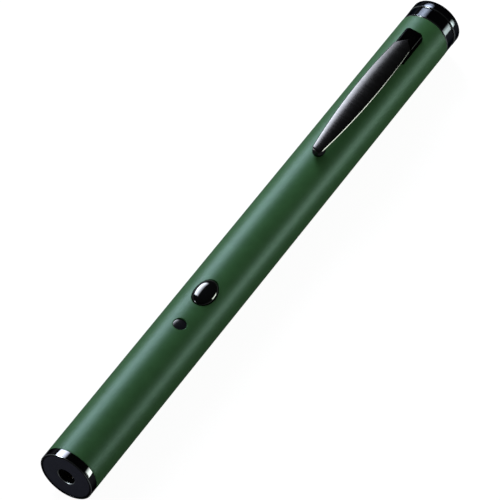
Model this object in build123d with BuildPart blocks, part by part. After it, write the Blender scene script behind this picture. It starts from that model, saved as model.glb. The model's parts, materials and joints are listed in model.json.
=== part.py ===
"""Pen laser pointer for two small cylindrical cells, with a side button and a spring clip.

Millimetres. The pen lies along X with its nose at the low end and its button side up.
The origin is on the resting surface, under the middle of the pen's length.
The barrel is as long and as wide as what it holds: module, board, contact and cells in line.
"""

from build123d import *
import math
import os

os.makedirs("parts", exist_ok=True)

# Clearances
seat_gap = 0.02
fixed_gap = 0.05
moving_gap = 0.12
cell_clearance = 0.2
cut_overrun = 1.0

# Cells, two in line
cell_diameter = 10.5
cell_length = 44.5
cell_sleeve_wall = 0.1
cell_nub_diameter = 3.8
cell_nub_length = 0.8
cell_lip_width = 1.0
cell_crimp_depth = 0.25
cell_crimp_width = 0.8

# Barrel: its bore takes the cells
barrel_wall = 1.05
barrel_edge_chamfer = 0.12
bore_radius = cell_diameter / 2 + cell_clearance
barrel_radius = bore_radius + barrel_wall
inner_radius = bore_radius - fixed_gap

# Nose bezel, face disc and window
bezel_length = 2.0
bezel_chamfer = 0.14
bezel_rim = 0.5
bezel_recess_depth = 1.4
bezel_web = 1.6
bezel_spigot_length = 3.0
bezel_spigot_wall = 0.7
disc_gap = 0.07
disc_setback = 0.12
aperture_radius = 2.07
aperture_chamfer = 0.3
window_radius = 3.2
window_thickness = 0.75
window_lip = 0.6
barrel_front = bezel_length
bezel_radius = barrel_radius
bezel_recess_radius = bezel_radius - bezel_rim
disc_radius = bezel_recess_radius - disc_gap
window_opening_radius = window_radius - window_lip

# Lens holder with its lens, filter and spring, in the module's front bore
module_wall = 1.2
lens_edge = 1.0
lens_crown = 0.7
lens_setback = 0.5
lens_ledge = 0.7
lens_holder_wall = 0.7
lens_holder_ledge_length = 1.5
lens_holder_setback = 0.6
spanner_slot_width = 0.9
spanner_slot_depth = 0.8
filter_lap = 0.4
filter_thickness = 0.5
lens_spring_wire = 0.45
lens_spring_length = 3.0
lens_spring_turns = 2.5
bow_share = 0.75
module_front_bore_radius = inner_radius - module_wall
lens_holder_radius = module_front_bore_radius - fixed_gap
lens_radius = lens_holder_radius - lens_holder_wall - fixed_gap
lens_holder_bore_radius = lens_radius - lens_ledge
filter_radius = lens_holder_bore_radius + filter_lap
lens_seat_depth = lens_setback + lens_crown + lens_edge
lens_holder_length = lens_seat_depth + lens_holder_ledge_length + filter_thickness

# Crystal holder, crystal and pump diode, in the module's rear bore
module_rear_wall = 1.8
crystal_holder_rim = 0.7
crystal_side = 1.0
crystal_length = 2.5
crystal_end_room = 0.4
diode_flange_step = 1.05
diode_flange_thickness = 1.2
diode_can_length = 1.9
diode_can_room = 0.2
diode_lead_radius = 0.22
diode_lead_lap = 1.22
diode_lead_spread = 1.0
clamp_ring_length = 1.6
clamp_ring_lead_gap = 0.29
module_rear_bore_radius = inner_radius - module_rear_wall
crystal_holder_radius = module_rear_bore_radius - fixed_gap
diode_flange_radius = crystal_holder_radius - crystal_holder_rim - fixed_gap
diode_can_radius = diode_flange_radius - diode_flange_step
holder_crystal_length = crystal_length + crystal_end_room
holder_can_length = diode_can_length + diode_can_room
crystal_holder_length = holder_crystal_length + holder_can_length + diode_flange_thickness

# Laser module housing, which holds all of these
expander_radius = 2.0
expander_thickness = 1.2
expander_dish = 0.25
module_front_gap = 0.2
module_shoulder = 0.9
module_middle_bore_length = 6.0
module_web = 4.0
module_beam_radius = 1.0
module_rear_lip = 0.16
module_groove_width = 1.2
module_groove_depth = 0.35
module_front = bezel_length + bezel_spigot_length + module_front_gap
module_middle_bore_radius = module_front_bore_radius - module_shoulder
module_rear_bore_length = crystal_holder_length + clamp_ring_length + 2 * seat_gap + module_rear_lip
middle_start = module_front + lens_holder_setback + lens_holder_length + lens_spring_length
web_start = middle_start + module_middle_bore_length
rear_start = web_start + module_web
module_rear = rear_start + module_rear_bore_length

# Circuit board and its carrier
board_gap = 2.0
board_end_gap = 0.15
board_edge_gap = 0.7
board_thickness = 1.0
board_room = 4.65
carrier_floor = 1.8
carrier_wall = 0.7
board_front = module_rear + board_gap
board_width = 2 * (inner_radius - board_edge_gap)
board_top = bore_radius - board_room
board_bottom = board_top - board_thickness
carrier_channel_depth = inner_radius + board_bottom - carrier_floor

# Parts on the board, with their places from its front edge
button_place = 21.4
indicator_place = 10.9
trimmer_place = 3.2
trimmer_side = 3.2
trimmer_height = 1.7
trimmer_rotor_radius = 1.1
trimmer_rotor_height = 0.3
trimmer_slot_width = 0.35
driver_place = 12.0
driver_length = 4.9
driver_width = 3.9
driver_height = 1.4
driver_leg_length = 0.9
driver_leg_width = 0.4
driver_leg_thickness = 0.25
driver_leg_pitch = 1.27
driver_legs_per_side = 4
driver_side_gap = 0.85
chip_length = 1.6
chip_width = 0.8
chip_height = 0.5
chip_row_offset = 3.0
chip_row_pitch = 2.0
chip_row_places = (5.9, 14.2)
chips_per_row = 2
carrier_channel_width = driver_width + 2 * (driver_leg_length + driver_side_gap)
button_x = board_front + button_place
indicator_x = board_front + indicator_place

# Tactile switch
switch_side = 4.5
switch_height = 1.6
switch_cover_lip = 0.25
plunger_radius = 1.0
plunger_height = 0.7
plunger_sunk = 0.6

# Button
button_length = 7.7
button_width = 4.9
button_rise = 0.8
button_wall_rise = 0.15
button_flange = 0.5
button_flange_thickness = 0.5
button_stem_radius = 1.3
button_travel = 0.45
button_flange_top = math.sqrt(bore_radius**2 - (button_width / 2 + button_flange) ** 2) - moving_gap
board_rear = button_x + button_length / 2 + button_flange + board_end_gap

# Indicator
indicator_diameter = 3.0
indicator_setback = 0.17
indicator_flange = 0.4
indicator_flange_thickness = 0.3
led_radius = 1.45
led_base_radius = 1.65
led_base_height = 0.7
led_height = 3.6
indicator_flange_radius = indicator_diameter / 2 + indicator_flange
indicator_flange_top = math.sqrt(bore_radius**2 - indicator_flange_radius**2) - moving_gap

# Front battery contact, and where the cells start behind it
contact_radius = 3.2
contact_thickness = 0.3
contact_height = 0.9
contact_boss_radius = 1.3
contact_boss_foot_radius = 2.6
contact_front = board_rear + seat_gap + carrier_wall + seat_gap
first_cell_start = contact_front + contact_height + seat_gap
cells_end = first_cell_start + 2 * cell_length

# Screw thread between the barrel and the tail cap
spigot_length = 3.9
spigot_side_gap = 0.2
spigot_wall = 0.85
spigot_lead = 0.25
thread_pitch = 0.75
thread_height = 0.35
thread_root_width = 0.44
thread_crest_width = 0.16
thread_radial_gap = 0.15
thread_relief = 0.3
thread_runout = 0.35
ring_section = 0.64
ring_gland_width = 0.9
ring_gland_depth = 0.2
ring_gland_setback = 0.3
spigot_tip = cells_end + 2 * moving_gap
barrel_rear = spigot_tip + spigot_length
spigot_core_radius = bore_radius - spigot_side_gap
thread_length = spigot_length - spigot_lead - thread_runout - ring_gland_width - ring_gland_setback
barrel_thread_radius = spigot_core_radius + thread_height + thread_radial_gap
barrel_thread_depth = spigot_length + thread_relief

# Tail cap
cap_length = 6.1
cap_band_step = 0.04
cap_chamfer = 0.22
cap_groove_centre = 3.55
cap_groove_width = 0.5
cap_groove_depth = 0.35
cap_groove_chamfer = 0.16
cap_end_round = 0.16
cap_end_wall = 2.1
cap_band_radius = barrel_radius - cap_band_step
cap_end_radius = barrel_radius
cap_cavity_radius = spigot_core_radius - spigot_wall
overall_length = barrel_rear + cap_length

# Tail spring
tail_spring_wire = 0.6
tail_spring_small_radius = 2.6
tail_spring_side_gap = 0.1
tail_spring_turns = 5
tail_spring_large_radius = cap_cavity_radius - tail_spring_side_gap - tail_spring_wire / 2

# Clip base, from the barrel's rear end
clip_setback = 5.7
clip_plate_length = 9.8
clip_plate_half_width = 2.2
clip_plate_rise = 0.4
clip_plate_corner = 0.3
clip_block_length = 5.7
clip_block_setback = 0.7
clip_block_rise = 2.2
clip_block_corner = 1.0
clip_block_round = 0.45
clip_rivet_radius = 0.8
clip_rivet_gap = 0.04
clip_ear_radius = 0.72
clip_ear_thickness = 0.65
clip_end = barrel_rear - clip_setback
clip_front = clip_end - clip_plate_length
block_front = clip_end - clip_block_setback - clip_block_length

# Clip hinge: pin, spring round it, and cheeks outside the ears
clip_pin_setback = 1.4
clip_pin_radius = 0.35
clip_pin_running_gap = 0.04
clip_spring_wire = 0.22
clip_spring_turns = 2.5
clip_spring_pitch = 0.45
clip_spring_leg = 1.1
clip_spring_foot_gap = 0.08
clip_spring_side_gap = 0.18
clip_cheek_thickness = 0.5
clip_side_gap = 0.06
clip_coil_radius = clip_pin_radius + fixed_gap + clip_spring_wire / 2
clip_coil_width = clip_spring_turns * clip_spring_pitch
clip_coil_reach = clip_coil_radius + clip_spring_wire / 2
clip_pin_rise = clip_plate_rise + clip_spring_foot_gap + clip_coil_reach
clip_cheek_radius = clip_pin_rise - clip_plate_rise - clip_side_gap
clip_ear_inner = clip_coil_width / 2 + clip_spring_wire / 2 + clip_spring_side_gap
clip_ear_outer = clip_ear_inner + clip_ear_thickness
pin_x = block_front - clip_pin_setback
pin_height = barrel_radius + clip_pin_rise

# Clip blade
blade_length = 42.2
blade_point = 2.3
blade_point_reach = 1.6
blade_point_gap = 0.35
blade_tip_half_width = 1.2
blade_root_half_width = 2.0
blade_bulge = 1.05
blade_spring_gap = 0.23
blade_tip_lift = 0.7
blade_arch = 0.2
blade_edge_thickness = 0.45
blade_crown_share = 0.08
blade_station_shares = (0, 0.12, 0.3, 0.5, 0.7, 0.88, 1)
blade_tip_corner = 1.0
bead_half_length = 1.9
bead_half_width = 1.5
bead_gap = 0.06
blade_root_rise = clip_pin_rise + clip_coil_reach + blade_spring_gap + blade_edge_thickness
blade_tip_rise = blade_root_rise + blade_tip_lift

# The pen's own directions
nose_x = -overall_length / 2
axis_height = barrel_radius
pen_axis = Axis((nose_x, 0, axis_height), (1, 0, 0))
side = Plane(origin=(nose_x, 0, axis_height), x_dir=(1, 0, 0), z_dir=(0, -1, 0))


def station(distance):
    """Plane square to the pen's axis, at a distance from the nose face, with its Y upwards."""
    return Plane(origin=(nose_x + distance, 0, axis_height), x_dir=(0, 1, 0), z_dir=(1, 0, 0))


def level(height, distance=0):
    """Plane facing up at a height over the pen's axis, with its X along the pen."""
    return Plane(origin=(nose_x + distance, 0, axis_height + height), x_dir=(1, 0, 0), z_dir=(0, 0, 1))


def across(distance, height, offset):
    """Plane facing along +Y at an offset, centred on a place seen from the pen's side."""
    return Plane(origin=(nose_x + distance, offset, axis_height + height), x_dir=(1, 0, 0), z_dir=(0, -1, 0))


def turned(*outline):
    """Half section of a turned piece, from points of distance from the nose and radius."""
    with BuildSketch(side) as half_section:
        with BuildLine():
            Polyline(*outline, close=True)
        make_face()
    return half_section.sketch


def tube_section(start, end, outer, inner):
    """Half section of a plain ring or tube."""
    return turned((start, inner), (end, inner), (end, outer), (start, outer))


def helix_path(start, end, radius, turns, end_radius=None):
    """Right-handed coil about the pen's axis, growing to its end radius when that is given."""
    length = end - start
    lean = 0
    if end_radius is not None:
        lean = math.degrees(math.atan2(end_radius - radius, length))
    return Helix(
        pitch=length / turns,
        height=length,
        radius=radius,
        center=(nose_x + start, 0, axis_height),
        direction=(1, 0, 0),
        cone_angle=lean,
    )


def pen_foot(point):
    """The place on the pen's axis beside a point."""
    return Vector(point.X, 0, axis_height)


def thread_ridge(start, length, root_radius, height):
    """One ridge of the screw thread: a negative height points towards the axis."""
    with BuildPart() as ridge:
        with BuildLine() as path:
            helix_path(start, start + length, root_radius, length / thread_pitch)
        root = thread_root_width / 2
        crest = thread_crest_width / 2
        buried = math.copysign(fixed_gap, height)
        foot = path.line @ 0
        sketch_plane = Plane(origin=foot, x_dir=(1, 0, 0), z_dir=path.line % 0)
        outward = 1 if sketch_plane.to_local_coords(foot + (foot - pen_foot(foot))).Y > 0 else -1
        with BuildSketch(sketch_plane):
            with BuildLine():
                Polyline(
                    (-root, -buried * outward),
                    (root, -buried * outward),
                    (crest, height * outward),
                    (-crest, height * outward),
                    close=True,
                )
            make_face()
        sweep(path=path.line, is_frenet=True)
    return ridge.part


written = []


def keep(piece, name):
    """Label a finished piece and write it."""
    piece.part.label = name
    export_step(piece.part, f"parts/{name}.step")
    written.append(name)


# Barrel: one tube with the openings for the button, the indicator and the clip's rivets
rivet_places = (clip_front + 2 * clip_rivet_radius, block_front + clip_block_length / 2)
with BuildPart() as barrel:
    revolve(tube_section(barrel_front, barrel_rear, barrel_radius, bore_radius), axis=pen_axis)
    wall_middle = (bore_radius + barrel_radius) / 2
    ends = barrel.edges().filter_by(GeomType.CIRCLE)
    chamfer(ends.filter_by(lambda e: e.radius > wall_middle), barrel_edge_chamfer)
    with BuildSketch(station(barrel_rear)):
        Circle(barrel_thread_radius)
    extrude(amount=-barrel_thread_depth, mode=Mode.SUBTRACT)
    with BuildSketch(level(0, button_x)):
        Ellipse(button_length / 2 + moving_gap, button_width / 2 + moving_gap)
    extrude(amount=barrel_radius + cut_overrun, mode=Mode.SUBTRACT)
    with BuildSketch(level(0, indicator_x)):
        Circle(indicator_diameter / 2 + fixed_gap)
    extrude(amount=barrel_radius + cut_overrun, mode=Mode.SUBTRACT)
    for place in rivet_places:
        with BuildSketch(level(0, place)):
            Circle(clip_rivet_radius + clip_rivet_gap)
        extrude(amount=barrel_radius + cut_overrun, mode=Mode.SUBTRACT)
    female_start = barrel_rear - spigot_length + spigot_lead + thread_pitch / 2
    add(thread_ridge(female_start, thread_length - thread_pitch / 2, barrel_thread_radius, -thread_height))
keep(barrel, "barrel")

# Nose bezel, pressed into the barrel
web_rear = bezel_recess_depth + bezel_web
spigot_rear = bezel_length + bezel_spigot_length
spigot_inner_radius = inner_radius - bezel_spigot_wall
window_seat_floor = bezel_recess_depth + window_thickness + fixed_gap
with BuildPart() as nose_bezel:
    revolve(
        turned(
            (0, bezel_recess_radius),
            (0, bezel_radius - bezel_chamfer),
            (bezel_chamfer, bezel_radius),
            (bezel_length, bezel_radius),
            (bezel_length, inner_radius),
            (spigot_rear, inner_radius),
            (spigot_rear, spigot_inner_radius),
            (web_rear, spigot_inner_radius),
            (web_rear, window_opening_radius),
            (window_seat_floor, window_opening_radius),
            (window_seat_floor, window_radius + fixed_gap),
            (bezel_recess_depth, window_radius + fixed_gap),
            (bezel_recess_depth, bezel_recess_radius),
        ),
        axis=pen_axis,
    )
keep(nose_bezel, "nose_bezel")

# Face disc with the beam's aperture
with BuildPart() as aperture_disc:
    revolve(
        turned(
            (disc_setback, aperture_radius + aperture_chamfer),
            (disc_setback, disc_radius - fixed_gap),
            (disc_setback + fixed_gap, disc_radius),
            (bezel_recess_depth, disc_radius),
            (bezel_recess_depth, aperture_radius),
            (disc_setback + aperture_chamfer, aperture_radius),
        ),
        axis=pen_axis,
    )
keep(aperture_disc, "aperture_disc")

# Window behind the aperture
with BuildPart() as aperture_window:
    with BuildSketch(station(bezel_recess_depth + seat_gap)):
        Circle(window_radius)
    extrude(amount=window_thickness)
keep(aperture_window, "aperture_window")

# Laser module housing: a bored brass barrel with a web for the expander lens
expander_seat_radius = expander_radius + fixed_gap
groove_centre = (module_front + module_rear) / 2
groove_half = module_groove_width / 2
with BuildPart() as module_housing:
    revolve(
        turned(
            (module_front, module_front_bore_radius),
            (module_front, inner_radius),
            (groove_centre - groove_half, inner_radius),
            (groove_centre - groove_half, inner_radius - module_groove_depth),
            (groove_centre + groove_half, inner_radius - module_groove_depth),
            (groove_centre + groove_half, inner_radius),
            (module_rear, inner_radius),
            (module_rear, module_rear_bore_radius),
            (rear_start, module_rear_bore_radius),
            (rear_start, module_beam_radius),
            (web_start + expander_thickness, module_beam_radius),
            (web_start + expander_thickness, expander_seat_radius),
            (web_start, expander_seat_radius),
            (web_start, module_middle_bore_radius),
            (middle_start, module_middle_bore_radius),
            (middle_start, module_front_bore_radius),
        ),
        axis=pen_axis,
    )
keep(module_housing, "module_housing")

# Lens holder: screwed ring with two spanner slots
holder_front = module_front + lens_holder_setback
holder_rear = holder_front + lens_holder_length
lens_seat = holder_front + lens_seat_depth
filter_seat = holder_rear - filter_thickness
with BuildPart() as lens_holder:
    revolve(
        turned(
            (holder_front, lens_radius + fixed_gap),
            (holder_front, lens_holder_radius),
            (holder_rear, lens_holder_radius),
            (holder_rear, filter_radius + fixed_gap),
            (filter_seat, filter_radius + fixed_gap),
            (filter_seat, lens_holder_bore_radius),
            (lens_seat, lens_holder_bore_radius),
            (lens_seat, lens_radius + fixed_gap),
        ),
        axis=pen_axis,
    )
    with BuildSketch(station(holder_front)):
        Rectangle(2 * (module_front_bore_radius + cut_overrun), spanner_slot_width)
    extrude(amount=spanner_slot_depth, mode=Mode.SUBTRACT)
keep(lens_holder, "lens_holder")

# Collimating lens: flat at the back, crowned towards the nose
with BuildPart() as collimating_lens:
    with BuildSketch(side):
        with BuildLine():
            back = lens_seat - seat_gap
            rim = back - lens_edge
            crown = rim - lens_crown
            bow = rim - lens_crown * bow_share
            ThreePointArc((crown, 0), (bow, lens_radius / 2), (rim, lens_radius))
            Polyline((rim, lens_radius), (back, lens_radius), (back, 0), (crown, 0))
        make_face()
    revolve(axis=pen_axis)
keep(collimating_lens, "collimating_lens")

# Infrared filter at the back of the lens holder
with BuildPart() as infrared_filter:
    with BuildSketch(station(filter_seat + seat_gap)):
        Circle(filter_radius)
    extrude(amount=filter_thickness - seat_gap)
keep(infrared_filter, "infrared_filter")

# Spring that holds the lens holder's focus
lens_spring_start = holder_rear + lens_spring_wire / 2 + fixed_gap
lens_spring_end = middle_start - lens_spring_wire / 2 - fixed_gap
lens_spring_radius = (module_front_bore_radius + module_middle_bore_radius) / 2
with BuildPart() as lens_spring:
    with BuildLine() as lens_coil:
        helix_path(lens_spring_start, lens_spring_end, lens_spring_radius, lens_spring_turns)
    with BuildSketch(Plane(origin=lens_coil.line @ 0, z_dir=lens_coil.line % 0)):
        Circle(lens_spring_wire / 2)
    sweep(path=lens_coil.line, is_frenet=True)
keep(lens_spring, "lens_spring")

# Beam expander lens in the housing's web
with BuildPart() as expander_lens:
    with BuildSketch(side):
        with BuildLine():
            front = web_start + seat_gap
            rear = web_start + expander_thickness - seat_gap
            dished = front + expander_dish
            bow = front + expander_dish * bow_share
            ThreePointArc((dished, 0), (bow, expander_radius / 2), (front, expander_radius))
            Polyline((front, expander_radius), (rear, expander_radius), (rear, 0), (dished, 0))
        make_face()
    revolve(axis=pen_axis)
keep(expander_lens, "expander_lens")

# Crystal holder, which also seats the pump diode
crystal_start = rear_start + seat_gap
can_start = crystal_start + holder_crystal_length
flange_start = can_start + holder_can_length
flange_end = flange_start + diode_flange_thickness
with BuildPart() as crystal_holder:
    revolve(
        turned(
            (crystal_start, 0),
            (crystal_start, crystal_holder_radius),
            (flange_end, crystal_holder_radius),
            (flange_end, diode_flange_radius + fixed_gap),
            (flange_start, diode_flange_radius + fixed_gap),
            (flange_start, diode_can_radius + fixed_gap),
            (can_start, diode_can_radius + fixed_gap),
            (can_start, 0),
        ),
        axis=pen_axis,
    )
    with BuildSketch(station(crystal_start)):
        Rectangle(crystal_side + 2 * seat_gap, crystal_side + 2 * seat_gap)
    extrude(amount=holder_crystal_length, mode=Mode.SUBTRACT)
keep(crystal_holder, "crystal_holder")

# Laser crystal
with BuildPart() as laser_crystal:
    with BuildSketch(station(crystal_start + crystal_end_room / 2)):
        Rectangle(crystal_side, crystal_side)
    extrude(amount=crystal_length)
keep(laser_crystal, "laser_crystal")

# Pump diode with three leads that reach over and under the board
top_lead_height = board_top + diode_lead_radius + seat_gap
low_lead_height = board_bottom - diode_lead_radius - seat_gap
lead_places = (
    (diode_lead_spread, top_lead_height),
    (-diode_lead_spread, top_lead_height),
    (0, low_lead_height),
)
with BuildPart() as pump_diode:
    with BuildSketch(station(flange_start + seat_gap)):
        Circle(diode_flange_radius)
    extrude(amount=diode_flange_thickness - seat_gap)
    with BuildSketch(station(flange_start + seat_gap)):
        Circle(diode_can_radius)
    extrude(amount=-diode_can_length)
    with BuildSketch(station(flange_end)):
        with Locations(*lead_places):
            Circle(diode_lead_radius)
    extrude(amount=board_front + diode_lead_lap - flange_end)
keep(pump_diode, "pump_diode")

# Clamp ring behind the diode
lead_reach = math.hypot(diode_lead_spread, top_lead_height) + diode_lead_radius
with BuildPart() as diode_clamp_ring:
    clamp_front = flange_end + seat_gap
    clamp_rear = clamp_front + clamp_ring_length
    revolve(
        tube_section(clamp_front, clamp_rear, crystal_holder_radius, lead_reach + clamp_ring_lead_gap),
        axis=pen_axis,
    )
    with BuildSketch(station(clamp_rear)):
        Rectangle(2 * module_rear_bore_radius, spanner_slot_width)
    extrude(amount=-spanner_slot_depth, mode=Mode.SUBTRACT)
keep(diode_clamp_ring, "diode_clamp_ring")

# Circuit board
with BuildPart() as main_board:
    with BuildSketch(level(board_bottom, (board_front + board_rear) / 2)):
        Rectangle(board_rear - board_front, board_width)
    extrude(amount=board_thickness)
keep(main_board, "main_board")

# Carrier: a half-round sled under the board, with an end wall for the battery contact
wall_front = board_rear + seat_gap
with BuildPart() as board_carrier:
    with BuildSketch(station(board_front)):
        Circle(inner_radius)
        with Locations((0, board_bottom - seat_gap + inner_radius)):
            Rectangle(2 * inner_radius, 2 * inner_radius, mode=Mode.SUBTRACT)
        with Locations((0, board_bottom - carrier_channel_depth / 2)):
            Rectangle(carrier_channel_width, carrier_channel_depth, mode=Mode.SUBTRACT)
    extrude(amount=wall_front - board_front)
    with BuildSketch(station(wall_front)):
        Circle(inner_radius)
    extrude(amount=carrier_wall)
keep(board_carrier, "board_carrier")

# Trimmer for the beam's power
trimmer_x = board_front + trimmer_place
trimmer_top = board_top + seat_gap + trimmer_height
with BuildPart() as trimmer:
    with BuildSketch(level(board_top + seat_gap, trimmer_x)):
        Rectangle(trimmer_side, trimmer_side)
    extrude(amount=trimmer_height)
    with BuildSketch(level(trimmer_top, trimmer_x)):
        Circle(trimmer_rotor_radius)
    extrude(amount=trimmer_rotor_height)
    with BuildSketch(level(trimmer_top + trimmer_rotor_height, trimmer_x)):
        Rectangle(2 * trimmer_rotor_radius, trimmer_slot_width)
    extrude(amount=-trimmer_rotor_height, mode=Mode.SUBTRACT)
keep(trimmer, "trimmer")

# Driver chip under the board, with its legs
driver_x = board_front + driver_place
with BuildPart() as driver_chip:
    with BuildSketch(level(board_bottom - seat_gap, driver_x)):
        Rectangle(driver_length, driver_width)
    extrude(amount=-driver_height)
    with BuildSketch(level(board_bottom - seat_gap, driver_x)):
        with GridLocations(driver_leg_pitch, driver_width + driver_leg_length, driver_legs_per_side, 2):
            Rectangle(driver_leg_width, driver_leg_length)
    extrude(amount=-driver_leg_thickness)
keep(driver_chip, "driver_chip")

# Chip resistors and capacitors in two short rows
with BuildPart() as chip_components:
    for place in chip_row_places:
        row_centre = board_front + place + chip_row_pitch * (chips_per_row - 1) / 2
        with BuildSketch(level(board_top + seat_gap, row_centre)):
            with GridLocations(chip_row_pitch, 2 * chip_row_offset, chips_per_row, 2):
                Rectangle(chip_width, chip_length)
        extrude(amount=chip_height)
keep(chip_components, "chip_components")

# Tactile switch body, open at the top for its plunger
switch_base = board_top + seat_gap
switch_top = switch_base + switch_height
with BuildPart() as switch_body:
    with BuildSketch(level(switch_base, button_x)):
        Rectangle(switch_side, switch_side)
    extrude(amount=switch_height - switch_cover_lip)
    with BuildSketch(level(switch_top - switch_cover_lip, button_x)):
        Rectangle(switch_side - 2 * switch_cover_lip, switch_side - 2 * switch_cover_lip)
    extrude(amount=switch_cover_lip)
    with BuildSketch(level(switch_top, button_x)):
        Circle(plunger_radius + fixed_gap)
    extrude(amount=-(plunger_sunk + button_travel + moving_gap), mode=Mode.SUBTRACT)
keep(switch_body, "switch_body")

# Switch plunger
with BuildPart() as switch_plunger:
    with BuildSketch(level(switch_top - plunger_sunk, button_x)):
        Circle(plunger_radius)
    extrude(amount=plunger_sunk + plunger_height)
keep(switch_plunger, "switch_plunger")

# Button: a domed oval cap held in by a flange under the barrel's wall
half_long = button_length / 2
half_wide = button_width / 2
dome_base = math.sqrt(barrel_radius**2 - half_wide**2) + button_wall_rise
dome_top = barrel_radius + button_rise
plunger_top = switch_top + plunger_height
with BuildPart() as button_cap:
    with BuildSketch(level(dome_base, button_x)):
        Ellipse(half_long, half_wide)
    extrude(amount=-(dome_base - button_flange_top))
    with BuildSketch(level(button_flange_top, button_x)):
        Ellipse(half_long + button_flange, half_wide + button_flange)
    extrude(amount=-button_flange_thickness)
    with BuildSketch(level(button_flange_top, button_x)):
        Circle(button_stem_radius)
    extrude(amount=-(button_flange_top - plunger_top - seat_gap))
    dome = scale(
        Sphere(1, mode=Mode.PRIVATE).split(Plane.XY, keep=Keep.TOP),
        by=(half_long, half_wide, dome_top - dome_base),
        mode=Mode.PRIVATE,
    )
    add(dome.moved(Location((nose_x + button_x, 0, axis_height + dome_base))))
keep(button_cap, "button_cap")

# Indicator lens, held by a flange under the barrel's wall
with BuildPart() as indicator_lens:
    with BuildSketch(level(indicator_flange_top, indicator_x)):
        Circle(indicator_diameter / 2)
    extrude(amount=barrel_radius - indicator_setback - indicator_flange_top)
    with BuildSketch(level(indicator_flange_top, indicator_x)):
        Circle(indicator_flange_radius)
    extrude(amount=-indicator_flange_thickness)
keep(indicator_lens, "indicator_lens")

# Indicator lamp on the board
led_base = board_top + seat_gap
with BuildPart() as indicator_led:
    with BuildSketch(level(led_base, indicator_x)):
        Circle(led_base_radius)
    extrude(amount=led_base_height)
    with BuildSketch(level(led_base, indicator_x)):
        Circle(led_radius)
    extrude(amount=led_height - led_radius)
    with Locations((nose_x + indicator_x, 0, axis_height + led_base + led_height - led_radius)):
        Sphere(led_radius)
keep(indicator_led, "indicator_led")

# Front battery contact on the carrier's wall
with BuildPart() as front_contact:
    revolve(
        turned(
            (contact_front, 0),
            (contact_front, contact_radius),
            (contact_front + contact_thickness, contact_radius),
            (contact_front + contact_thickness, contact_boss_foot_radius),
            (contact_front + contact_height, contact_boss_radius),
            (contact_front + contact_height, 0),
        ),
        axis=pen_axis,
    )
keep(front_contact, "front_contact")

# Two cells, each with its insulating sleeve
can_radius = cell_diameter / 2 - cell_sleeve_wall
nub_radius = cell_nub_diameter / 2
for name, start in (("front", first_cell_start), ("rear", first_cell_start + cell_length)):
    shoulder = start + cell_nub_length
    end = start + cell_length
    crimp = shoulder + 2 * cell_crimp_width
    with BuildPart() as cell:
        revolve(
            turned(
                (start, 0),
                (start, nub_radius - fixed_gap),
                (start + fixed_gap, nub_radius),
                (shoulder, nub_radius),
                (shoulder, can_radius - cell_crimp_depth),
                (crimp, can_radius - cell_crimp_depth),
                (crimp + cell_crimp_width / 2, can_radius),
                (end - cell_sleeve_wall, can_radius),
                (end - cell_sleeve_wall, can_radius - cell_lip_width),
                (end, can_radius - cell_lip_width - cell_sleeve_wall),
                (end, 0),
            ),
            axis=pen_axis,
        )
    keep(cell, f"cell_{name}")
    with BuildPart() as sleeve:
        revolve(
            turned(
                (crimp + cell_crimp_width / 2, can_radius),
                (crimp + cell_crimp_width / 2, cell_diameter / 2),
                (end, cell_diameter / 2),
                (end, can_radius - cell_lip_width / 2),
                (end - cell_sleeve_wall, can_radius - cell_lip_width / 2),
                (end - cell_sleeve_wall, can_radius),
            ),
            axis=pen_axis,
        )
    keep(sleeve, f"cell_{name}_sleeve")

# Tail cap with its grooved band, threaded spigot and spring cavity
groove_low = barrel_rear + cap_groove_centre - cap_groove_width / 2
groove_high = groove_low + cap_groove_width
groove_floor = cap_band_radius - cap_groove_depth
gland_end = barrel_rear - ring_gland_setback
gland_start = gland_end - ring_gland_width
cavity_end = overall_length - cap_end_wall
with BuildPart() as tail_cap:
    with BuildSketch(side):
        with BuildLine():
            Polyline(
                (overall_length, cap_end_radius - cap_end_round),
                (overall_length, 0),
                (cavity_end, 0),
                (cavity_end, cap_cavity_radius),
                (spigot_tip, cap_cavity_radius),
                (spigot_tip, spigot_core_radius),
                (gland_start, spigot_core_radius),
                (gland_start, spigot_core_radius - ring_gland_depth),
                (gland_end, spigot_core_radius - ring_gland_depth),
                (gland_end, spigot_core_radius),
                (barrel_rear, spigot_core_radius),
                (barrel_rear, cap_band_radius - cap_chamfer),
                (barrel_rear + cap_chamfer, cap_band_radius),
                (groove_low - cap_groove_chamfer, cap_band_radius),
                (groove_low, cap_band_radius - cap_groove_chamfer),
                (groove_low, groove_floor),
                (groove_high, groove_floor),
                (groove_high, cap_end_radius - cap_groove_chamfer),
                (groove_high + cap_groove_chamfer, cap_end_radius),
                (overall_length - cap_end_round, cap_end_radius),
            )
            RadiusArc(
                (overall_length - cap_end_round, cap_end_radius),
                (overall_length, cap_end_radius - cap_end_round),
                cap_end_round,
            )
        make_face()
    revolve(axis=pen_axis)
    add(thread_ridge(spigot_tip + spigot_lead, thread_length, spigot_core_radius, thread_height))
keep(tail_cap, "tail_cap")

# Sealing ring in the cap's gland
ring_centre_radius = spigot_core_radius - ring_gland_depth + ring_section / 2 + seat_gap
with BuildPart() as cap_ring:
    with BuildSketch(side):
        with Locations(((gland_start + gland_end) / 2, ring_centre_radius)):
            Circle(ring_section / 2)
    revolve(axis=pen_axis)
keep(cap_ring, "cap_ring")

# Tail spring, from the rear cell to the cap's end wall
tail_spring_start = cells_end + tail_spring_wire / 2 + fixed_gap
tail_spring_end = cavity_end - tail_spring_wire / 2 - fixed_gap
with BuildPart() as tail_spring:
    with BuildLine() as tail_coil:
        helix_path(
            tail_spring_start,
            tail_spring_end,
            tail_spring_small_radius,
            tail_spring_turns,
            tail_spring_large_radius,
        )
    with BuildSketch(Plane(origin=tail_coil.line @ 0, z_dir=tail_coil.line % 0)):
        Circle(tail_spring_wire / 2)
    sweep(path=tail_coil.line, is_frenet=True)
keep(tail_spring, "tail_spring")

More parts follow.
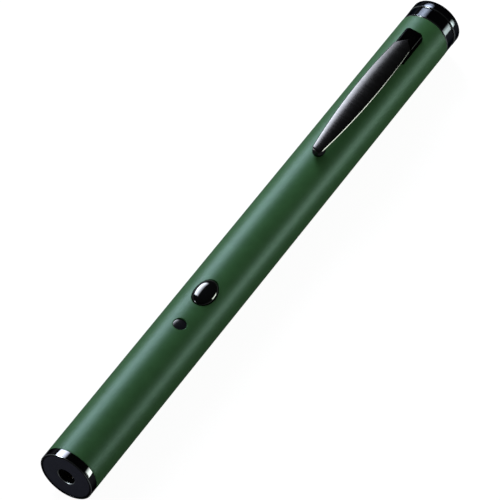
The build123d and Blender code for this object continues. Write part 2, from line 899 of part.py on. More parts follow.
# Clip blade's outline: a leaf with a pointed root that lies between the horns of the base's block
blade_end = block_front + blade_point_reach
blade_start = blade_end - blade_length


def blade_half_width(share):
    """Half width of the leaf, from tip (0) to root (1)."""
    straight = blade_tip_half_width * (1 - share) + blade_root_half_width * share
    return straight + blade_bulge * 4 * share * (1 - share)


def blade_edge_height(share):
    """Height of the leaf's long edges over the pen's axis, from tip (0) to root (1)."""
    straight = blade_tip_rise * (1 - share) + blade_root_rise * share
    return barrel_radius + straight + blade_arch * 4 * share * (1 - share)


point_half = blade_half_width(1 - blade_point / blade_length)
point_slope = blade_point / point_half
point_notch = blade_end + blade_point_gap * math.hypot(blade_point, point_half) / point_half

# Clip base: saddle plate, rear block with a notch for the blade's pointed root, two ears and two rivets
plate_top = barrel_radius + clip_plate_rise
block_top = barrel_radius + clip_block_rise
pin_hole_radius = clip_pin_radius + seat_gap
plate_centre = (clip_front + clip_end) / 2
with BuildPart() as clip_base:
    with BuildSketch(level(0, block_front + clip_block_length / 2)) as block_outline:
        Rectangle(clip_block_length, 2 * clip_plate_half_width)
        fillet(block_outline.vertices().group_by(Axis.X)[-1], clip_block_corner)
    extrude(amount=block_top)
    top_edges = clip_base.faces().sort_by(Axis.Z)[-1].edges()
    fillet(top_edges.sort_by(Axis.X)[1:], clip_block_round)
    with BuildSketch(level(plate_top)):
        with BuildLine():
            notch_half = clip_plate_half_width + cut_overrun
            notch_start = point_notch - notch_half * point_slope
            Polyline((point_notch, 0), (notch_start, notch_half), (notch_start, -notch_half), close=True)
        make_face()
    extrude(amount=clip_block_rise, mode=Mode.SUBTRACT)
    with BuildSketch(level(0, plate_centre)) as plate_outline:
        Rectangle(clip_plate_length, 2 * clip_plate_half_width)
        fillet(plate_outline.vertices().group_by(Axis.X)[0], clip_plate_corner)
        fillet(plate_outline.vertices().group_by(Axis.X)[-1], clip_block_corner)
    extrude(amount=plate_top)
    for flank in (-1, 1):
        middle = flank * (clip_ear_inner + clip_ear_outer) / 2
        with BuildSketch(across(pin_x, 0, middle)):
            with Locations((0, pin_height)):
                Circle(clip_ear_radius)
            with Locations((0, pin_height / 2)):
                Rectangle(2 * clip_ear_radius, pin_height)
        extrude(amount=(clip_ear_outer - clip_ear_inner) / 2, both=True)
    with BuildSketch(across(pin_x, pin_height, 0)):
        Circle(pin_hole_radius)
    extrude(amount=clip_plate_half_width + cut_overrun, both=True, mode=Mode.SUBTRACT)
    with BuildSketch(station(clip_front - cut_overrun)):
        Circle(barrel_radius)
    extrude(amount=clip_plate_length + 2 * cut_overrun, mode=Mode.SUBTRACT)
    for place in rivet_places:
        with BuildSketch(level(bore_radius + seat_gap, place)):
            Circle(clip_rivet_radius)
        extrude(amount=barrel_radius + clip_plate_rise / 2 - bore_radius)
keep(clip_base, "clip_base")

# Hinge pin
cheek_inner = clip_ear_outer + clip_side_gap
cheek_outer = cheek_inner + clip_cheek_thickness
with BuildPart() as clip_pin:
    with BuildSketch(across(pin_x, pin_height, 0)):
        Circle(clip_pin_radius)
    extrude(amount=cheek_outer, both=True)
keep(clip_pin, "clip_pin")

# Clip spring: wound round the pin, pushing the blade's tail up and so its tip down
with BuildPart() as clip_spring:
    with BuildLine() as clip_coil:
        wound = Helix(
            pitch=clip_spring_pitch,
            height=clip_coil_width,
            radius=clip_coil_radius,
            center=(nose_x + pin_x, -clip_coil_width / 2, axis_height + pin_height),
            direction=(0, 1, 0),
            lefthand=True,
        )
        Line(wound @ 0 - (wound % 0) * clip_spring_leg, wound @ 0)
        Line(wound @ 1, wound @ 1 + (wound % 1) * clip_spring_leg)
    spring_path = Wire(clip_coil.edges())
    with BuildSketch(Plane(origin=spring_path @ 0, z_dir=spring_path % 0)):
        Circle(clip_spring_wire / 2)
    sweep(path=spring_path, is_frenet=True)
keep(clip_spring, "clip_spring")

# Clip blade: a crowned leaf with a pointed root, two cheeks and a rounded bead under its tip
bead_low = barrel_radius + bead_gap
bead_high = blade_edge_height(0)
bead_half_height = (bead_high - bead_low) / 2
with BuildPart() as clip_blade:
    for share in blade_station_shares:
        half = blade_half_width(share)
        edge = blade_edge_height(share)
        low = edge - blade_edge_thickness
        with BuildSketch(station(blade_start + blade_length * share)):
            with BuildLine():
                Line((-half, low), (half, low))
                Line((half, low), (half, edge))
                ThreePointArc((half, edge), (0, edge + 2 * half * blade_crown_share), (-half, edge))
                Line((-half, edge), (-half, low))
            make_face()
    loft()
    tip_edges = clip_blade.edges().group_by(Axis.X)[0]
    fillet(tip_edges.filter_by(lambda e: e.bounding_box().size.Y < fixed_gap), blade_tip_corner)
    with BuildSketch(level(0)):
        with BuildLine():
            outside_half = point_half + cut_overrun
            outside_start = blade_end - outside_half * point_slope
            Polyline(
                (blade_end, 0),
                (outside_start, outside_half),
                (blade_end + cut_overrun, outside_half),
                (blade_end + cut_overrun, -outside_half),
                (outside_start, -outside_half),
                close=True,
            )
        make_face()
    extrude(amount=barrel_radius + blade_tip_rise + cut_overrun, mode=Mode.SUBTRACT)
    bead = scale(
        Sphere(1, mode=Mode.PRIVATE),
        by=(bead_half_length, bead_half_width, bead_half_height),
        mode=Mode.PRIVATE,
    )
    bead_place = (nose_x + blade_start + bead_half_length, 0, axis_height + bead_low + bead_half_height)
    add(bead.moved(Location(bead_place)))
    root_low = blade_edge_height(1) - blade_edge_thickness
    for flank in (-1, 1):
        middle = flank * (cheek_inner + cheek_outer) / 2
        with BuildSketch(across(pin_x, pin_height, middle)):
            Circle(clip_cheek_radius)
            with Locations((0, (root_low + blade_edge_thickness / 2 - pin_height) / 2)):
                Rectangle(2 * clip_cheek_radius, root_low + blade_edge_thickness / 2 - pin_height)
        extrude(amount=clip_cheek_thickness / 2, both=True)
    with BuildSketch(across(pin_x, pin_height, 0)):
        Circle(clip_pin_radius + clip_pin_running_gap)
    extrude(amount=cheek_outer + cut_overrun, both=True, mode=Mode.SUBTRACT)
keep(clip_blade, "clip_blade")

print("written", len(written))
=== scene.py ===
"""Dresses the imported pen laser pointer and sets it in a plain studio.

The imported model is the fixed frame. Lengths in the pieces' classes are millimetres, as in the
part's source: X runs from the nose face to the tail, and heights are over the pen's axis.
"""

import json
import logging
from dataclasses import dataclass, field, replace
from enum import Enum
from math import asin, atan2, cos, hypot, pi, radians, sin, sqrt, tan, tau

import bmesh
import bpy
from bpy.types import ID, AreaLight, Material, Mesh, Node, NodeSocket, NodeTree
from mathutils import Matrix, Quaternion, Vector

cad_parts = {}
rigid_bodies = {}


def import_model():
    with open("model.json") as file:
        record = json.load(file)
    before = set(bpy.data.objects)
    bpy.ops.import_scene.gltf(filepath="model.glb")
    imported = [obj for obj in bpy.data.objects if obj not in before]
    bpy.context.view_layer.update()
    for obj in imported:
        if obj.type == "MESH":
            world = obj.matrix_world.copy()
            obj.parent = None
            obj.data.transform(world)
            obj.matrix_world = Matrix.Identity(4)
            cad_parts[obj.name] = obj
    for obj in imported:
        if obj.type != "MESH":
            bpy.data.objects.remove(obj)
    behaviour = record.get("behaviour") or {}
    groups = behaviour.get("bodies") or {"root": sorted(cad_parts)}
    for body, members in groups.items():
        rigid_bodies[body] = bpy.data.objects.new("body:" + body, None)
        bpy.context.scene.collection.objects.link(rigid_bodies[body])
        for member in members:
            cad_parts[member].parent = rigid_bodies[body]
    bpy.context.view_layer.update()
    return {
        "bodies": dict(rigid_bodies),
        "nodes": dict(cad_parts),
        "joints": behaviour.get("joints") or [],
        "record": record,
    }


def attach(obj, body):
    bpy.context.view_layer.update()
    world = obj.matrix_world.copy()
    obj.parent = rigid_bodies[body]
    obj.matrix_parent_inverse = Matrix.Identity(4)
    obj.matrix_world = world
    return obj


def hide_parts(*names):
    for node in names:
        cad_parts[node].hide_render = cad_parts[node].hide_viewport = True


log = logging.getLogger("pointer")

# MM is one millimetre in metres. MERGE_DISTANCE is in metres too, and the other lengths are in millimetres.
MM = 0.001
PEN_LENGTH = 159.8
BARREL_RADIUS = 6.5
BORE_RADIUS = 5.45
QUARTER_TURN = pi / 2
MERGE_DISTANCE = 1e-6
TINY = 1e-6
FACE_WEIGHT = 100
LATHE_SEGMENTS = 192
GRID_HALF = 0.5
COIL_STEPS = 40
WIRE_FACETS = 14
TURNED_SHARP = radians(40)
SHELL_SHARP = radians(50)
FILLET_REACH = 0.49
CHAMFER_SLOPES = (0.3, 0.95)
HOLE_SHADE_SLOPES = (-0.5, 0.5)
MARGIN = 0.02
MOTTLE_DETAIL = 3
GRAIN_DETAIL = 2
NOISE_MIDDLE = (0.3, 0.7)
COAT_ROUGHNESS = 0.1
WHITE = (1, 1, 1, 1)

Point = tuple[float, float, float]
Pair = tuple[float, float]
Colour = tuple[float, float, float]


class Body(Enum):
    """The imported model's bodies that pieces ride on."""

    BARREL = "body"
    BUTTON = "button"
    CLIP = "clip"
    CARRIAGE = "cap_carriage"
    CAP = "cap"


class Pattern(Enum):
    """How a finish's fine grain lies on its piece."""

    EVEN = (1.0, 1.0, 1.0)
    ALONG = (0.04, 1.0, 1.0)
    CROSSWISE = (1.0, 0.05, 1.0)


def place(x: float, y: float, height: float) -> Point:
    """Metres in the model's frame from millimetres along, across and over the pen's axis."""
    return ((x - PEN_LENGTH / 2) * MM, y * MM, (height + BARREL_RADIUS) * MM)


def put(name: str, data: ID) -> bpy.types.Object:
    """Makes an object of some data and links it to the scene.

    Args:
        name: the object's name.
        data: its mesh, lamp or camera.

    Returns:
        The object.
    """
    piece = bpy.data.objects.new(name, data)
    bpy.context.scene.collection.objects.link(piece)
    return piece


def turns(count: int) -> list[float]:
    """Angles in even steps round a full turn."""
    return [tau * k / count for k in range(count)]


# Node trees


class Nodes:
    """A node tree, with short calls that add its nodes and join them."""

    start: Node  # holds a Geometry Nodes tree's inputs

    def __init__(self, group: NodeTree) -> None:
        """Takes the tree that nodes are added to."""
        self.group = group

    def add(self, kind: str, inputs: dict[str | int, object] | None = None, **values: object) -> Node:
        """Adds a node.

        Args:
            kind: the node's type name.
            inputs: what its inputs hold: a socket, a value, or the name of one of a Geometry Nodes tree's inputs.
            values: the node's properties.

        Returns:
            The new node.
        """
        node = self.group.nodes.new(kind)
        for key, value in values.items():
            setattr(node, key, value)
        for key, value in (inputs or {}).items():
            if isinstance(value, str):
                value = self.start.outputs[value]
            if isinstance(value, NodeSocket):
                self.group.links.new(value, node.inputs[key])
            else:
                node.inputs[key].default_value = value
        return node

    def calc(self, operation: str, *values: object) -> NodeSocket:
        """Adds a Math node for one operation and returns its result."""
        return self.add("ShaderNodeMath", dict(enumerate(values)), operation=operation).outputs[0]

    def span(self, value: NodeSocket, source: Pair, target: Pair, curve: str = "LINEAR") -> NodeSocket:
        """Maps one range of a value to another, evenly or by a named curve."""
        ends = zip(("From Min", "From Max", "To Min", "To Max"), (*source, *target))
        return self.add("ShaderNodeMapRange", {"Value": value, **dict(ends)}, interpolation_type=curve).outputs[0]

    def rays(self) -> tuple[NodeSocket, NodeSocket]:
        """Whether the camera casts a ray, and whether metal or glass does."""
        path = self.add("ShaderNodeLightPath").outputs
        return path["Is Camera Ray"], self.calc("MAXIMUM", path["Is Glossy Ray"], path["Is Transmission Ray"])


class Shader(Nodes):
    """A material's node tree."""

    def __init__(self, name: str) -> None:
        """Makes an empty material.

        Args:
            name: the material's name.
        """
        self.material = bpy.data.materials.new(name)
        self.material.use_nodes = True
        super().__init__(self.material.node_tree)
        self.group.nodes.clear()

    def coordinates(self, stretch: Point) -> NodeSocket:
        """Object coordinates centred on the pen's axis and stretched for a pattern.

        Args:
            stretch: the pattern's density along X, Y and Z.

        Returns:
            The vector socket.
        """
        shift = (0, 0, -BARREL_RADIUS * MM * stretch[2])
        inputs = {"Vector": self.add("ShaderNodeTexCoord").outputs["Object"], "Location": shift, "Scale": stretch}
        return self.add("ShaderNodeMapping", inputs, vector_type="POINT").outputs["Vector"]

    def noise(self, vector: NodeSocket, scale: float, detail: float) -> NodeSocket:
        """A noise over a vector, by its density per metre and its octaves."""
        return self.add("ShaderNodeTexNoise", {"Vector": vector, "Scale": scale, "Detail": detail}).outputs[0]

    def blend(self, factor: NodeSocket, one: Colour, other: Colour) -> NodeSocket:
        """Mixes two colours by a factor.

        Args:
            factor: 0 for the first colour, 1 for the second.
            one: the first colour.
            other: the second colour.

        Returns:
            The mixed colour's socket.
        """
        node = self.add("ShaderNodeMix", {"Factor": factor}, data_type="RGBA")
        for socket, colour in zip((s for s in node.inputs if s.type == "RGBA"), (one, other)):
            socket.default_value = (*colour, 1)
        return next(socket for socket in node.outputs if socket.type == "RGBA")


@dataclass(frozen=True)
class Finish:
    """A procedural finish: two close colours, uneven gloss and a fine grain."""

    name: str
    colour: Colour
    shade: Colour
    metallic: float = 0.0
    roughness: Pair = (0.3, 0.4)
    mottle: float = 900.0
    grain: float = 9000.0
    relief: float = 0.004
    strength: float = 0.25
    pattern: Pattern = Pattern.EVEN
    specular: float = 0.5
    coat: float = 0.0
    transmission: float = 0.0
    ior: float = 1.5
    edge_tint: Colour = (1.0, 1.0, 1.0)

    def grained(self, tree: Shader) -> NodeSocket:
        """The coordinates that the fine grain reads."""
        return tree.coordinates(self.pattern.value)

    def material(self) -> Material:
        """Builds the finish, or finds it where it has been built before.

        Returns:
            The material.
        """
        made = bpy.data.materials.get(self.name)
        if made is not None:
            return made
        tree = Shader(self.name)
        mottle = tree.noise(tree.coordinates(Pattern.EVEN.value), self.mottle, MOTTLE_DETAIL)
        grain = tree.noise(self.grained(tree), self.grain, GRAIN_DETAIL)
        share = tree.span(mottle, NOISE_MIDDLE, (0, 1), "SMOOTHSTEP")
        bump = {"Height": grain, "Strength": self.strength, "Distance": self.relief * MM}
        inputs = {
            "Base Color": tree.blend(share, self.colour, self.shade),
            "Metallic": self.metallic,
            "Roughness": tree.span(grain, NOISE_MIDDLE, self.roughness, "SMOOTHSTEP"),
            "IOR": self.ior,
            "Normal": tree.add("ShaderNodeBump", bump).outputs["Normal"],
            "Specular IOR Level": self.specular,
            "Specular Tint": (*self.edge_tint, 1),
            "Coat Weight": self.coat,
            "Coat Roughness": COAT_ROUGHNESS,
            "Transmission Weight": self.transmission,
        }
        surface = tree.add("ShaderNodeBsdfPrincipled", inputs)
        tree.add("ShaderNodeOutputMaterial", {"Surface": surface.outputs["BSDF"]})
        return tree.material


@dataclass(frozen=True)
class TurnedFinish(Finish):
    """A finish with the fine rings that a lathe leaves round the pen's axis."""

    grain: float = 7000.0

    def grained(self, tree: Shader) -> NodeSocket:
        """The distance along the pen and the radius, which the rings read.

        Args:
            tree: the finish's node tree.

        Returns:
            The vector socket.
        """
        parts = tree.add("ShaderNodeSeparateXYZ", {"Vector": tree.coordinates(Pattern.EVEN.value)}).outputs
        across = tree.add("ShaderNodeCombineXYZ", {"Y": parts["Y"], "Z": parts["Z"]})
        radius = tree.add("ShaderNodeVectorMath", {0: across.outputs["Vector"]}, operation="LENGTH")
        return tree.add("ShaderNodeCombineXYZ", {"X": parts["X"], "Y": radius.outputs["Value"]}).outputs["Vector"]


GREEN_COAT = Finish(
    "green coat", (0.0208, 0.0615, 0.0195), (0.0185, 0.0555, 0.0172), metallic=0.1, roughness=(0.4, 0.47),
    mottle=420.0, grain=11000.0, relief=0.01, strength=0.3, specular=0.165, edge_tint=(0.57, 0.75, 1.0),
)
BLACK_CHROME = Finish(
    "black chrome", (0.064, 0.064, 0.069), (0.056, 0.056, 0.061), metallic=1.0, roughness=(0.05, 0.09), mottle=260.0,
    grain=2600.0, relief=0.001, strength=0.05, edge_tint=(0.3, 0.3, 0.3),
)
BRUSHED_CHROME = replace(
    BLACK_CHROME, name="brushed black chrome", colour=(0.073, 0.071, 0.071), shade=(0.065, 0.063, 0.064),
    roughness=(0.22, 0.26), mottle=500.0, strength=0.025, pattern=Pattern.CROSSWISE,
)
TAIL_CHROME = replace(
    BLACK_CHROME, name="tail black chrome", colour=(0.061, 0.066, 0.077), shade=(0.053, 0.058, 0.068),
)
DARK_CHROME = replace(
    BLACK_CHROME, name="dark clip base", colour=(0.0085, 0.0085, 0.009), shade=(0.0065, 0.0065, 0.007),
    roughness=(0.2, 0.26), mottle=400.0, edge_tint=(0.2, 0.2, 0.2),
)
CHARCOAL = Finish(
    "charcoal face", (0.0205, 0.021, 0.0335), (0.0165, 0.0175, 0.028), roughness=(0.5, 0.62), mottle=1500.0,
    grain=7000.0, relief=0.02, strength=0.4, specular=0.2,
)
CUT_EDGE = Finish(
    "bright cut edge", (0.36, 0.39, 0.39), (0.29, 0.32, 0.325), metallic=1.0, roughness=(0.3, 0.4), mottle=2000.0,
)
POLISHED_EDGE = replace(CUT_EDGE, name="polished edge", roughness=(0.12, 0.18))
# Gloss black is the button's own colour; on the aperture hole's wall it stands for painted shade.
GLOSS_BLACK_AND_HOLE_SHADE = Finish(
    "gloss black", (0.0018, 0.0018, 0.002), (0.0014, 0.0014, 0.0016), roughness=(0.05, 0.09), mottle=300.0,
    grain=1800.0, relief=0.001, strength=0.04,
)
SMOKED_LENS = Finish(
    "smoked lens", (0.003, 0.003, 0.004), (0.004, 0.004, 0.0055), roughness=(0.12, 0.18), mottle=1400.0, grain=8000.0,
    relief=0.002, strength=0.1,
)
CLEAR_GLASS = Finish(
    "clear glass", (0.93, 0.97, 0.96), (0.9, 0.96, 0.95), roughness=(0.01, 0.03), transmission=1.0, ior=1.52,
    strength=0.02,
)
LASER_CRYSTAL = Finish(
    "laser crystal", (0.78, 0.66, 0.88), (0.7, 0.58, 0.84), roughness=(0.02, 0.05), transmission=0.9, ior=1.8,
    strength=0.03,
)
TURNED_BRASS = TurnedFinish(
    "turned brass", (0.72, 0.5, 0.2), (0.62, 0.42, 0.17), metallic=1.0, roughness=(0.18, 0.34),
)
DRAWN_STEEL = Finish(
    "drawn steel", (0.56, 0.56, 0.57), (0.48, 0.48, 0.5), metallic=1.0, roughness=(0.18, 0.32), pattern=Pattern.ALONG,
)
NICKEL_CAN = TurnedFinish(
    "nickel can", (0.64, 0.62, 0.58), (0.55, 0.53, 0.5), metallic=1.0, roughness=(0.22, 0.36), grain=3000.0,
)
CELL_SLEEVE = Finish(
    "cell sleeve", (0.05, 0.07, 0.1), (0.04, 0.058, 0.085), roughness=(0.2, 0.3), mottle=300.0, coat=0.4,
)
BOARD_MASK = Finish(
    "board mask", (0.012, 0.13, 0.05), (0.01, 0.1, 0.04), roughness=(0.25, 0.38), mottle=1600.0, coat=0.3,
)
PALE_PLASTIC = Finish("pale plastic", (0.72, 0.7, 0.64), (0.66, 0.64, 0.58), roughness=(0.4, 0.55), mottle=700.0)
BLUE_PLASTIC = Finish("blue plastic", (0.03, 0.14, 0.5), (0.025, 0.11, 0.42), roughness=(0.3, 0.45), mottle=1200.0)
BLACK_EPOXY = Finish("black epoxy", (0.02, 0.02, 0.021), (0.028, 0.028, 0.03), roughness=(0.45, 0.65), mottle=2400.0)
LAMP_RESIN = Finish(
    "lamp resin", (0.55, 0.8, 0.58), (0.5, 0.76, 0.54), roughness=(0.1, 0.2), transmission=0.5, mottle=800.0,
)
SEAL_RUBBER = Finish("seal rubber", (0.013, 0.013, 0.013), (0.018, 0.018, 0.018), roughness=(0.5, 0.7), mottle=1800.0)


# Geometry Nodes trees


class Tree(Nodes):
    """A Geometry Nodes tree with named inputs, used to make one plain mesh at a time."""

    def __init__(self, name: str) -> None:
        """Makes an empty tree.

        Args:
            name: the tree's name.
        """
        super().__init__(bpy.data.node_groups.new(name, "GeometryNodeTree"))
        self.ids: dict[str, str] = {}
        for way in ("INPUT", "OUTPUT"):
            self.group.interface.new_socket("Geometry", in_out=way, socket_type="NodeSocketGeometry")
        self.start = self.group.nodes.new("NodeGroupInput")
        self.end = self.group.nodes.new("NodeGroupOutput")

    def value(self, name: str, kind: str = "Float") -> str:
        """Adds a named input.

        Args:
            name: the input's name.
            kind: what it holds.

        Returns:
            The name again.
        """
        face = self.group.interface
        self.ids[name] = face.new_socket(name, in_out="INPUT", socket_type=f"NodeSocket{kind}").identifier
        return name

    def close(self, geometry: NodeSocket) -> None:
        """Ends the tree in smooth shading, realized instances and the material.

        Args:
            geometry: the geometry that the tree has made.
        """
        self.value("Material", "Material")
        smooth = self.add("GeometryNodeSetShadeSmooth", {"Geometry": geometry})
        real = self.add("GeometryNodeRealizeInstances", {"Geometry": smooth.outputs[0]})
        dressed = self.add("GeometryNodeSetMaterial", {"Geometry": real.outputs[0], "Material": "Material"})
        self.group.links.new(dressed.outputs[0], self.end.inputs[0])

    def mesh(self, name: str, base: Mesh, values: dict[str, object]) -> Mesh:
        """Runs the tree on a base mesh.

        Args:
            name: the new mesh's name.
            base: what the tree starts from.
            values: the tree's inputs by name.

        Returns:
            A plain mesh with faces outwards.
        """
        holder = put(name, base)
        modifier = holder.modifiers.new(self.group.name, "NODES")
        modifier.node_group = self.group
        for key, value in values.items():
            modifier[self.ids[key]] = value
        graph = bpy.context.evaluated_depsgraph_get()
        made = bpy.data.meshes.new_from_object(holder.evaluated_get(graph))
        made.name = name
        bpy.data.objects.remove(holder)
        face_out(made)
        made.materials.clear()
        made.materials.append(values["Material"])
        made.polygons.foreach_set("material_index", [0] * len(made.polygons))
        return made


def face_out(mesh: Mesh) -> None:
    """Merges a mesh's doubles and points its faces outwards.

    Args:
        mesh: the mesh.
    """
    work = bmesh.new()
    work.from_mesh(mesh)
    bmesh.ops.remove_doubles(work, verts=work.verts, dist=MERGE_DISTANCE)
    bmesh.ops.recalc_face_normals(work, faces=work.faces)
    if work.calc_volume(signed=True) < 0:
        bmesh.ops.reverse_faces(work, faces=work.faces)
    work.to_mesh(mesh)
    work.free()


def lathe_tree() -> Tree:
    """A tree that turns a line of points (distance along the pen, radius) round the pen's axis.

    Returns:
        The tree, with the inputs Segments and Axis Height.
    """
    tree = Tree("Lathe")
    segments = tree.value("Segments", "Int")
    height = tree.value("Axis Height")
    count = tree.add("GeometryNodeAttributeDomainSize", {"Geometry": "Geometry"}).outputs["Point Count"]
    rim = tree.calc("ADD", segments, 1.0)
    grid = tree.add("GeometryNodeMeshGrid", {"Size X": 1.0, "Size Y": 1.0, "Vertices X": count, "Vertices Y": rim})
    position = tree.add("GeometryNodeInputPosition").outputs[0]
    spot = tree.add("ShaderNodeSeparateXYZ", {0: position}).outputs
    last = tree.calc("SUBTRACT", count, 1.0)
    index = tree.calc("ROUND", tree.calc("MULTIPLY", tree.calc("ADD", spot["X"], GRID_HALF), last))
    angle = tree.calc("MULTIPLY", tree.calc("ADD", spot["Y"], GRID_HALF), tau)
    source = {"Geometry": "Geometry", "Value": position, "Index": index}
    sample = tree.add("GeometryNodeSampleIndex", source, data_type="FLOAT_VECTOR")
    line = tree.add("ShaderNodeSeparateXYZ", {0: sample.outputs[0]}).outputs
    y = tree.calc("MULTIPLY", line["Z"], tree.calc("SINE", angle))
    z = tree.calc("ADD", tree.calc("MULTIPLY", line["Z"], tree.calc("COSINE", angle)), height)
    spun = tree.add("ShaderNodeCombineXYZ", {"X": line["X"], "Y": y, "Z": z})
    moved = tree.add("GeometryNodeSetPosition", {"Geometry": grid.outputs["Mesh"], "Position": spun.outputs[0]})
    joined = tree.add("GeometryNodeMergeByDistance", {"Geometry": moved.outputs[0], "Distance": MERGE_DISTANCE})
    tree.close(joined.outputs[0])
    return tree


def coil_tree() -> Tree:
    """A tree that winds a round wire along the pen's axis.

    Returns:
        The tree, with the inputs Turns, Length, Start Radius, End Radius, Wire Radius, Start and Axis Height.
    """
    tree = Tree("Coil")
    for name in ("Turns", "Length", "Start Radius", "End Radius", "Wire Radius", "Start", "Axis Height"):
        tree.value(name)
    path = {"Resolution": COIL_STEPS, "Rotations": "Turns", "Height": "Length"}
    radii = {name: name for name in ("Start Radius", "End Radius")}
    spiral = tree.add("GeometryNodeCurveSpiral", {**path, **radii}).outputs[0]
    wire = tree.add("GeometryNodeCurvePrimitiveCircle", {"Resolution": WIRE_FACETS, "Radius": "Wire Radius"})
    swept = {"Curve": spiral, "Profile Curve": wire.outputs[0], "Fill Caps": True}
    tube = tree.add("GeometryNodeCurveToMesh", swept).outputs[0]
    shift = tree.add("ShaderNodeCombineXYZ", {"X": "Start", "Z": "Axis Height"}).outputs[0]
    pose = {"Rotation": (0, QUARTER_TURN, 0), "Translation": shift}
    tree.close(tree.add("GeometryNodeTransform", {"Geometry": tube, **pose}).outputs[0])
    return tree


# Mesh helpers


def rounded(*corners: Point, steps: int = 6, closed: bool = True) -> list[Pair]:
    """Rounds the corners of an outline.

    Args:
        corners: the outline's corners as two coordinates and a fillet radius.
        steps: facets in each fillet.
        closed: whether the last corner joins the first.

    Returns:
        The outline's points, with the first one repeated at the end of a closed outline.
    """
    points: list[Pair] = []
    count = len(corners)
    for i, (x, r, fillet) in enumerate(corners):
        here = Vector((x, r))
        if fillet == 0 or (not closed and i in (0, count - 1)):
            points.append((x, r))
            continue
        before = Vector(corners[i - 1][:2]) - here
        after = Vector(corners[(i + 1) % count][:2]) - here
        half = before.angle(after) / 2
        run = min(fillet / tan(half), before.length * FILLET_REACH, after.length * FILLET_REACH)
        radius = run * tan(half)
        middle = here + (before.normalized() + after.normalized()).normalized() * (radius / sin(half))
        one = here + before.normalized() * run - middle
        other = here + after.normalized() * run - middle
        sweep = one.angle_signed(other)
        for k in range(steps + 1):
            turn = -sweep * k / steps
            cosine, sine = cos(turn), sin(turn)
            spun = Vector((one.x * cosine - one.y * sine, one.x * sine + one.y * cosine))
            points.append(tuple(middle + spun))
    if closed:
        points.append(points[0])
    return points


class Shell:
    """A mesh under construction, made of rings of points in millimetres."""

    def __init__(self) -> None:
        """Starts with no points."""
        self.points: list[Point] = []
        self.faces: list[tuple[int, ...]] = []

    def ring(self, points: list[Point]) -> list[int]:
        """Adds points (along, across, over the axis) and returns their numbers."""
        self.points += [place(*point) for point in points]
        return list(range(len(self.points) - len(points), len(self.points)))

    def bridge(self, one: list[int], other: list[int]) -> None:
        """Joins two closed rings of equal length by quads."""
        self.faces += zip(one, one[1:] + one[:1], other[1:] + other[:1], other)

    def join(self, rings: list[list[Point]]) -> list[list[int]]:
        """Adds rings of equal length and joins them in order.

        Args:
            rings: the rings.

        Returns:
            The numbers of each ring's points.
        """
        numbers = [self.ring(points) for points in rings]
        for one, other in zip(numbers, numbers[1:]):
            self.bridge(one, other)
        return numbers

    def stack(self, rings: list[list[Point]]) -> None:
        """Joins rings in order, and closes the first and the last with a face each."""
        numbers = self.join(rings)
        self.faces += [tuple(numbers[0]), tuple(reversed(numbers[-1]))]

    def mesh(self, name: str, finish: Finish) -> Mesh:
        """Closes the shell into a mesh with smooth faces that point outwards.

        Args:
            name: the mesh's name.
            finish: the mesh's finish.

        Returns:
            The mesh.
        """
        made = bpy.data.meshes.new(name)
        made.from_pydata(self.points, [], self.faces)
        face_out(made)
        made.shade_smooth()
        made.materials.append(finish.material())
        made.set_sharp_from_angle(angle=SHELL_SHARP)
        return made


def paint(mesh: Mesh, finish: Finish, radii: Pair, rear: float, slopes: Pair = CHAMFER_SLOPES) -> None:
    """Adds a finish to a turned piece and gives it to some of its faces.

    Args:
        mesh: the piece's mesh.
        finish: the finish.
        radii: the radii that the faces lie between.
        rear: the distance from the nose that they lie before.
        slopes: how far they face the nose, from -1 to 1.
    """
    number = len(mesh.materials)
    mesh.materials.append(finish.material())
    limit = place(rear, 0, 0)[0]
    for polygon in mesh.polygons:
        centre = polygon.center
        radius = hypot(centre.y, centre.z - BARREL_RADIUS * MM) / MM
        facing = slopes[0] < -polygon.normal.x < slopes[1]
        if radii[0] < radius < radii[1] and facing and centre.x < limit:
            polygon.material_index = number


@dataclass
class Workshop:
    """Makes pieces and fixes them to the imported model."""

    frame: dict[str, object]
    lathe: Tree = field(default_factory=lathe_tree)
    coil: Tree = field(default_factory=coil_tree)

    def fix(self, mesh: Mesh, body: Body, slot: str, *nodes: str, weighted: bool = True) -> None:
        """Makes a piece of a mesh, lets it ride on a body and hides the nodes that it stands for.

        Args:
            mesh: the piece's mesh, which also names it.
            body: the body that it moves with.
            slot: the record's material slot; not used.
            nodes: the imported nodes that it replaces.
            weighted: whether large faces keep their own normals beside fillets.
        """
        piece = put(mesh.name, mesh)
        if weighted:
            modifier = piece.modifiers.new("Face weights", "WEIGHTED_NORMAL")
            modifier.mode = "FACE_AREA"
            modifier.weight = FACE_WEIGHT
            modifier.keep_sharp = True
        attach(piece, body.value)
        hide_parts(*nodes)
        log.info("piece %s on %s: %d faces", piece.name, body.value, len(mesh.polygons))

    def turned(self, name: str, outline: list[Pair], finish: Finish) -> Mesh:
        """Turns an outline round the pen's axis.

        Args:
            name: the mesh's name.
            outline: distances from the nose and radii, closed, or with both ends on the axis.
            finish: the mesh's finish.

        Returns:
            The mesh.
        """
        base = bpy.data.meshes.new(name + "_outline")
        base.from_pydata([((x - PEN_LENGTH / 2) * MM, 0, r * MM) for x, r in outline], [], [])
        values = {"Segments": LATHE_SEGMENTS, "Axis Height": BARREL_RADIUS * MM, "Material": finish.material()}
        mesh = self.lathe.mesh(name, base, values)
        mesh.set_sharp_from_angle(angle=TURNED_SHARP)
        return mesh

    def dress(self, finish: Finish, *nodes: str) -> None:
        """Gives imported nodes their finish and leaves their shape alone.

        Args:
            finish: the finish.
            nodes: the nodes' names.
        """
        for node in nodes:
            piece = self.frame["nodes"][node]
            piece.data.materials.clear()
            piece.data.materials.append(finish.material())
            log.info("node %s: %s", node, finish.name)


@dataclass
class Part:
    """A sub-assembly, with the workshop that makes its pieces."""

    shop: Workshop


@dataclass
class Opening:
    """An opening through the barrel's top: half sizes along and across, and its patch of the wall."""

    x: float
    half_length: float
    half_width: float
    patch: float
    rows: int
    columns: int


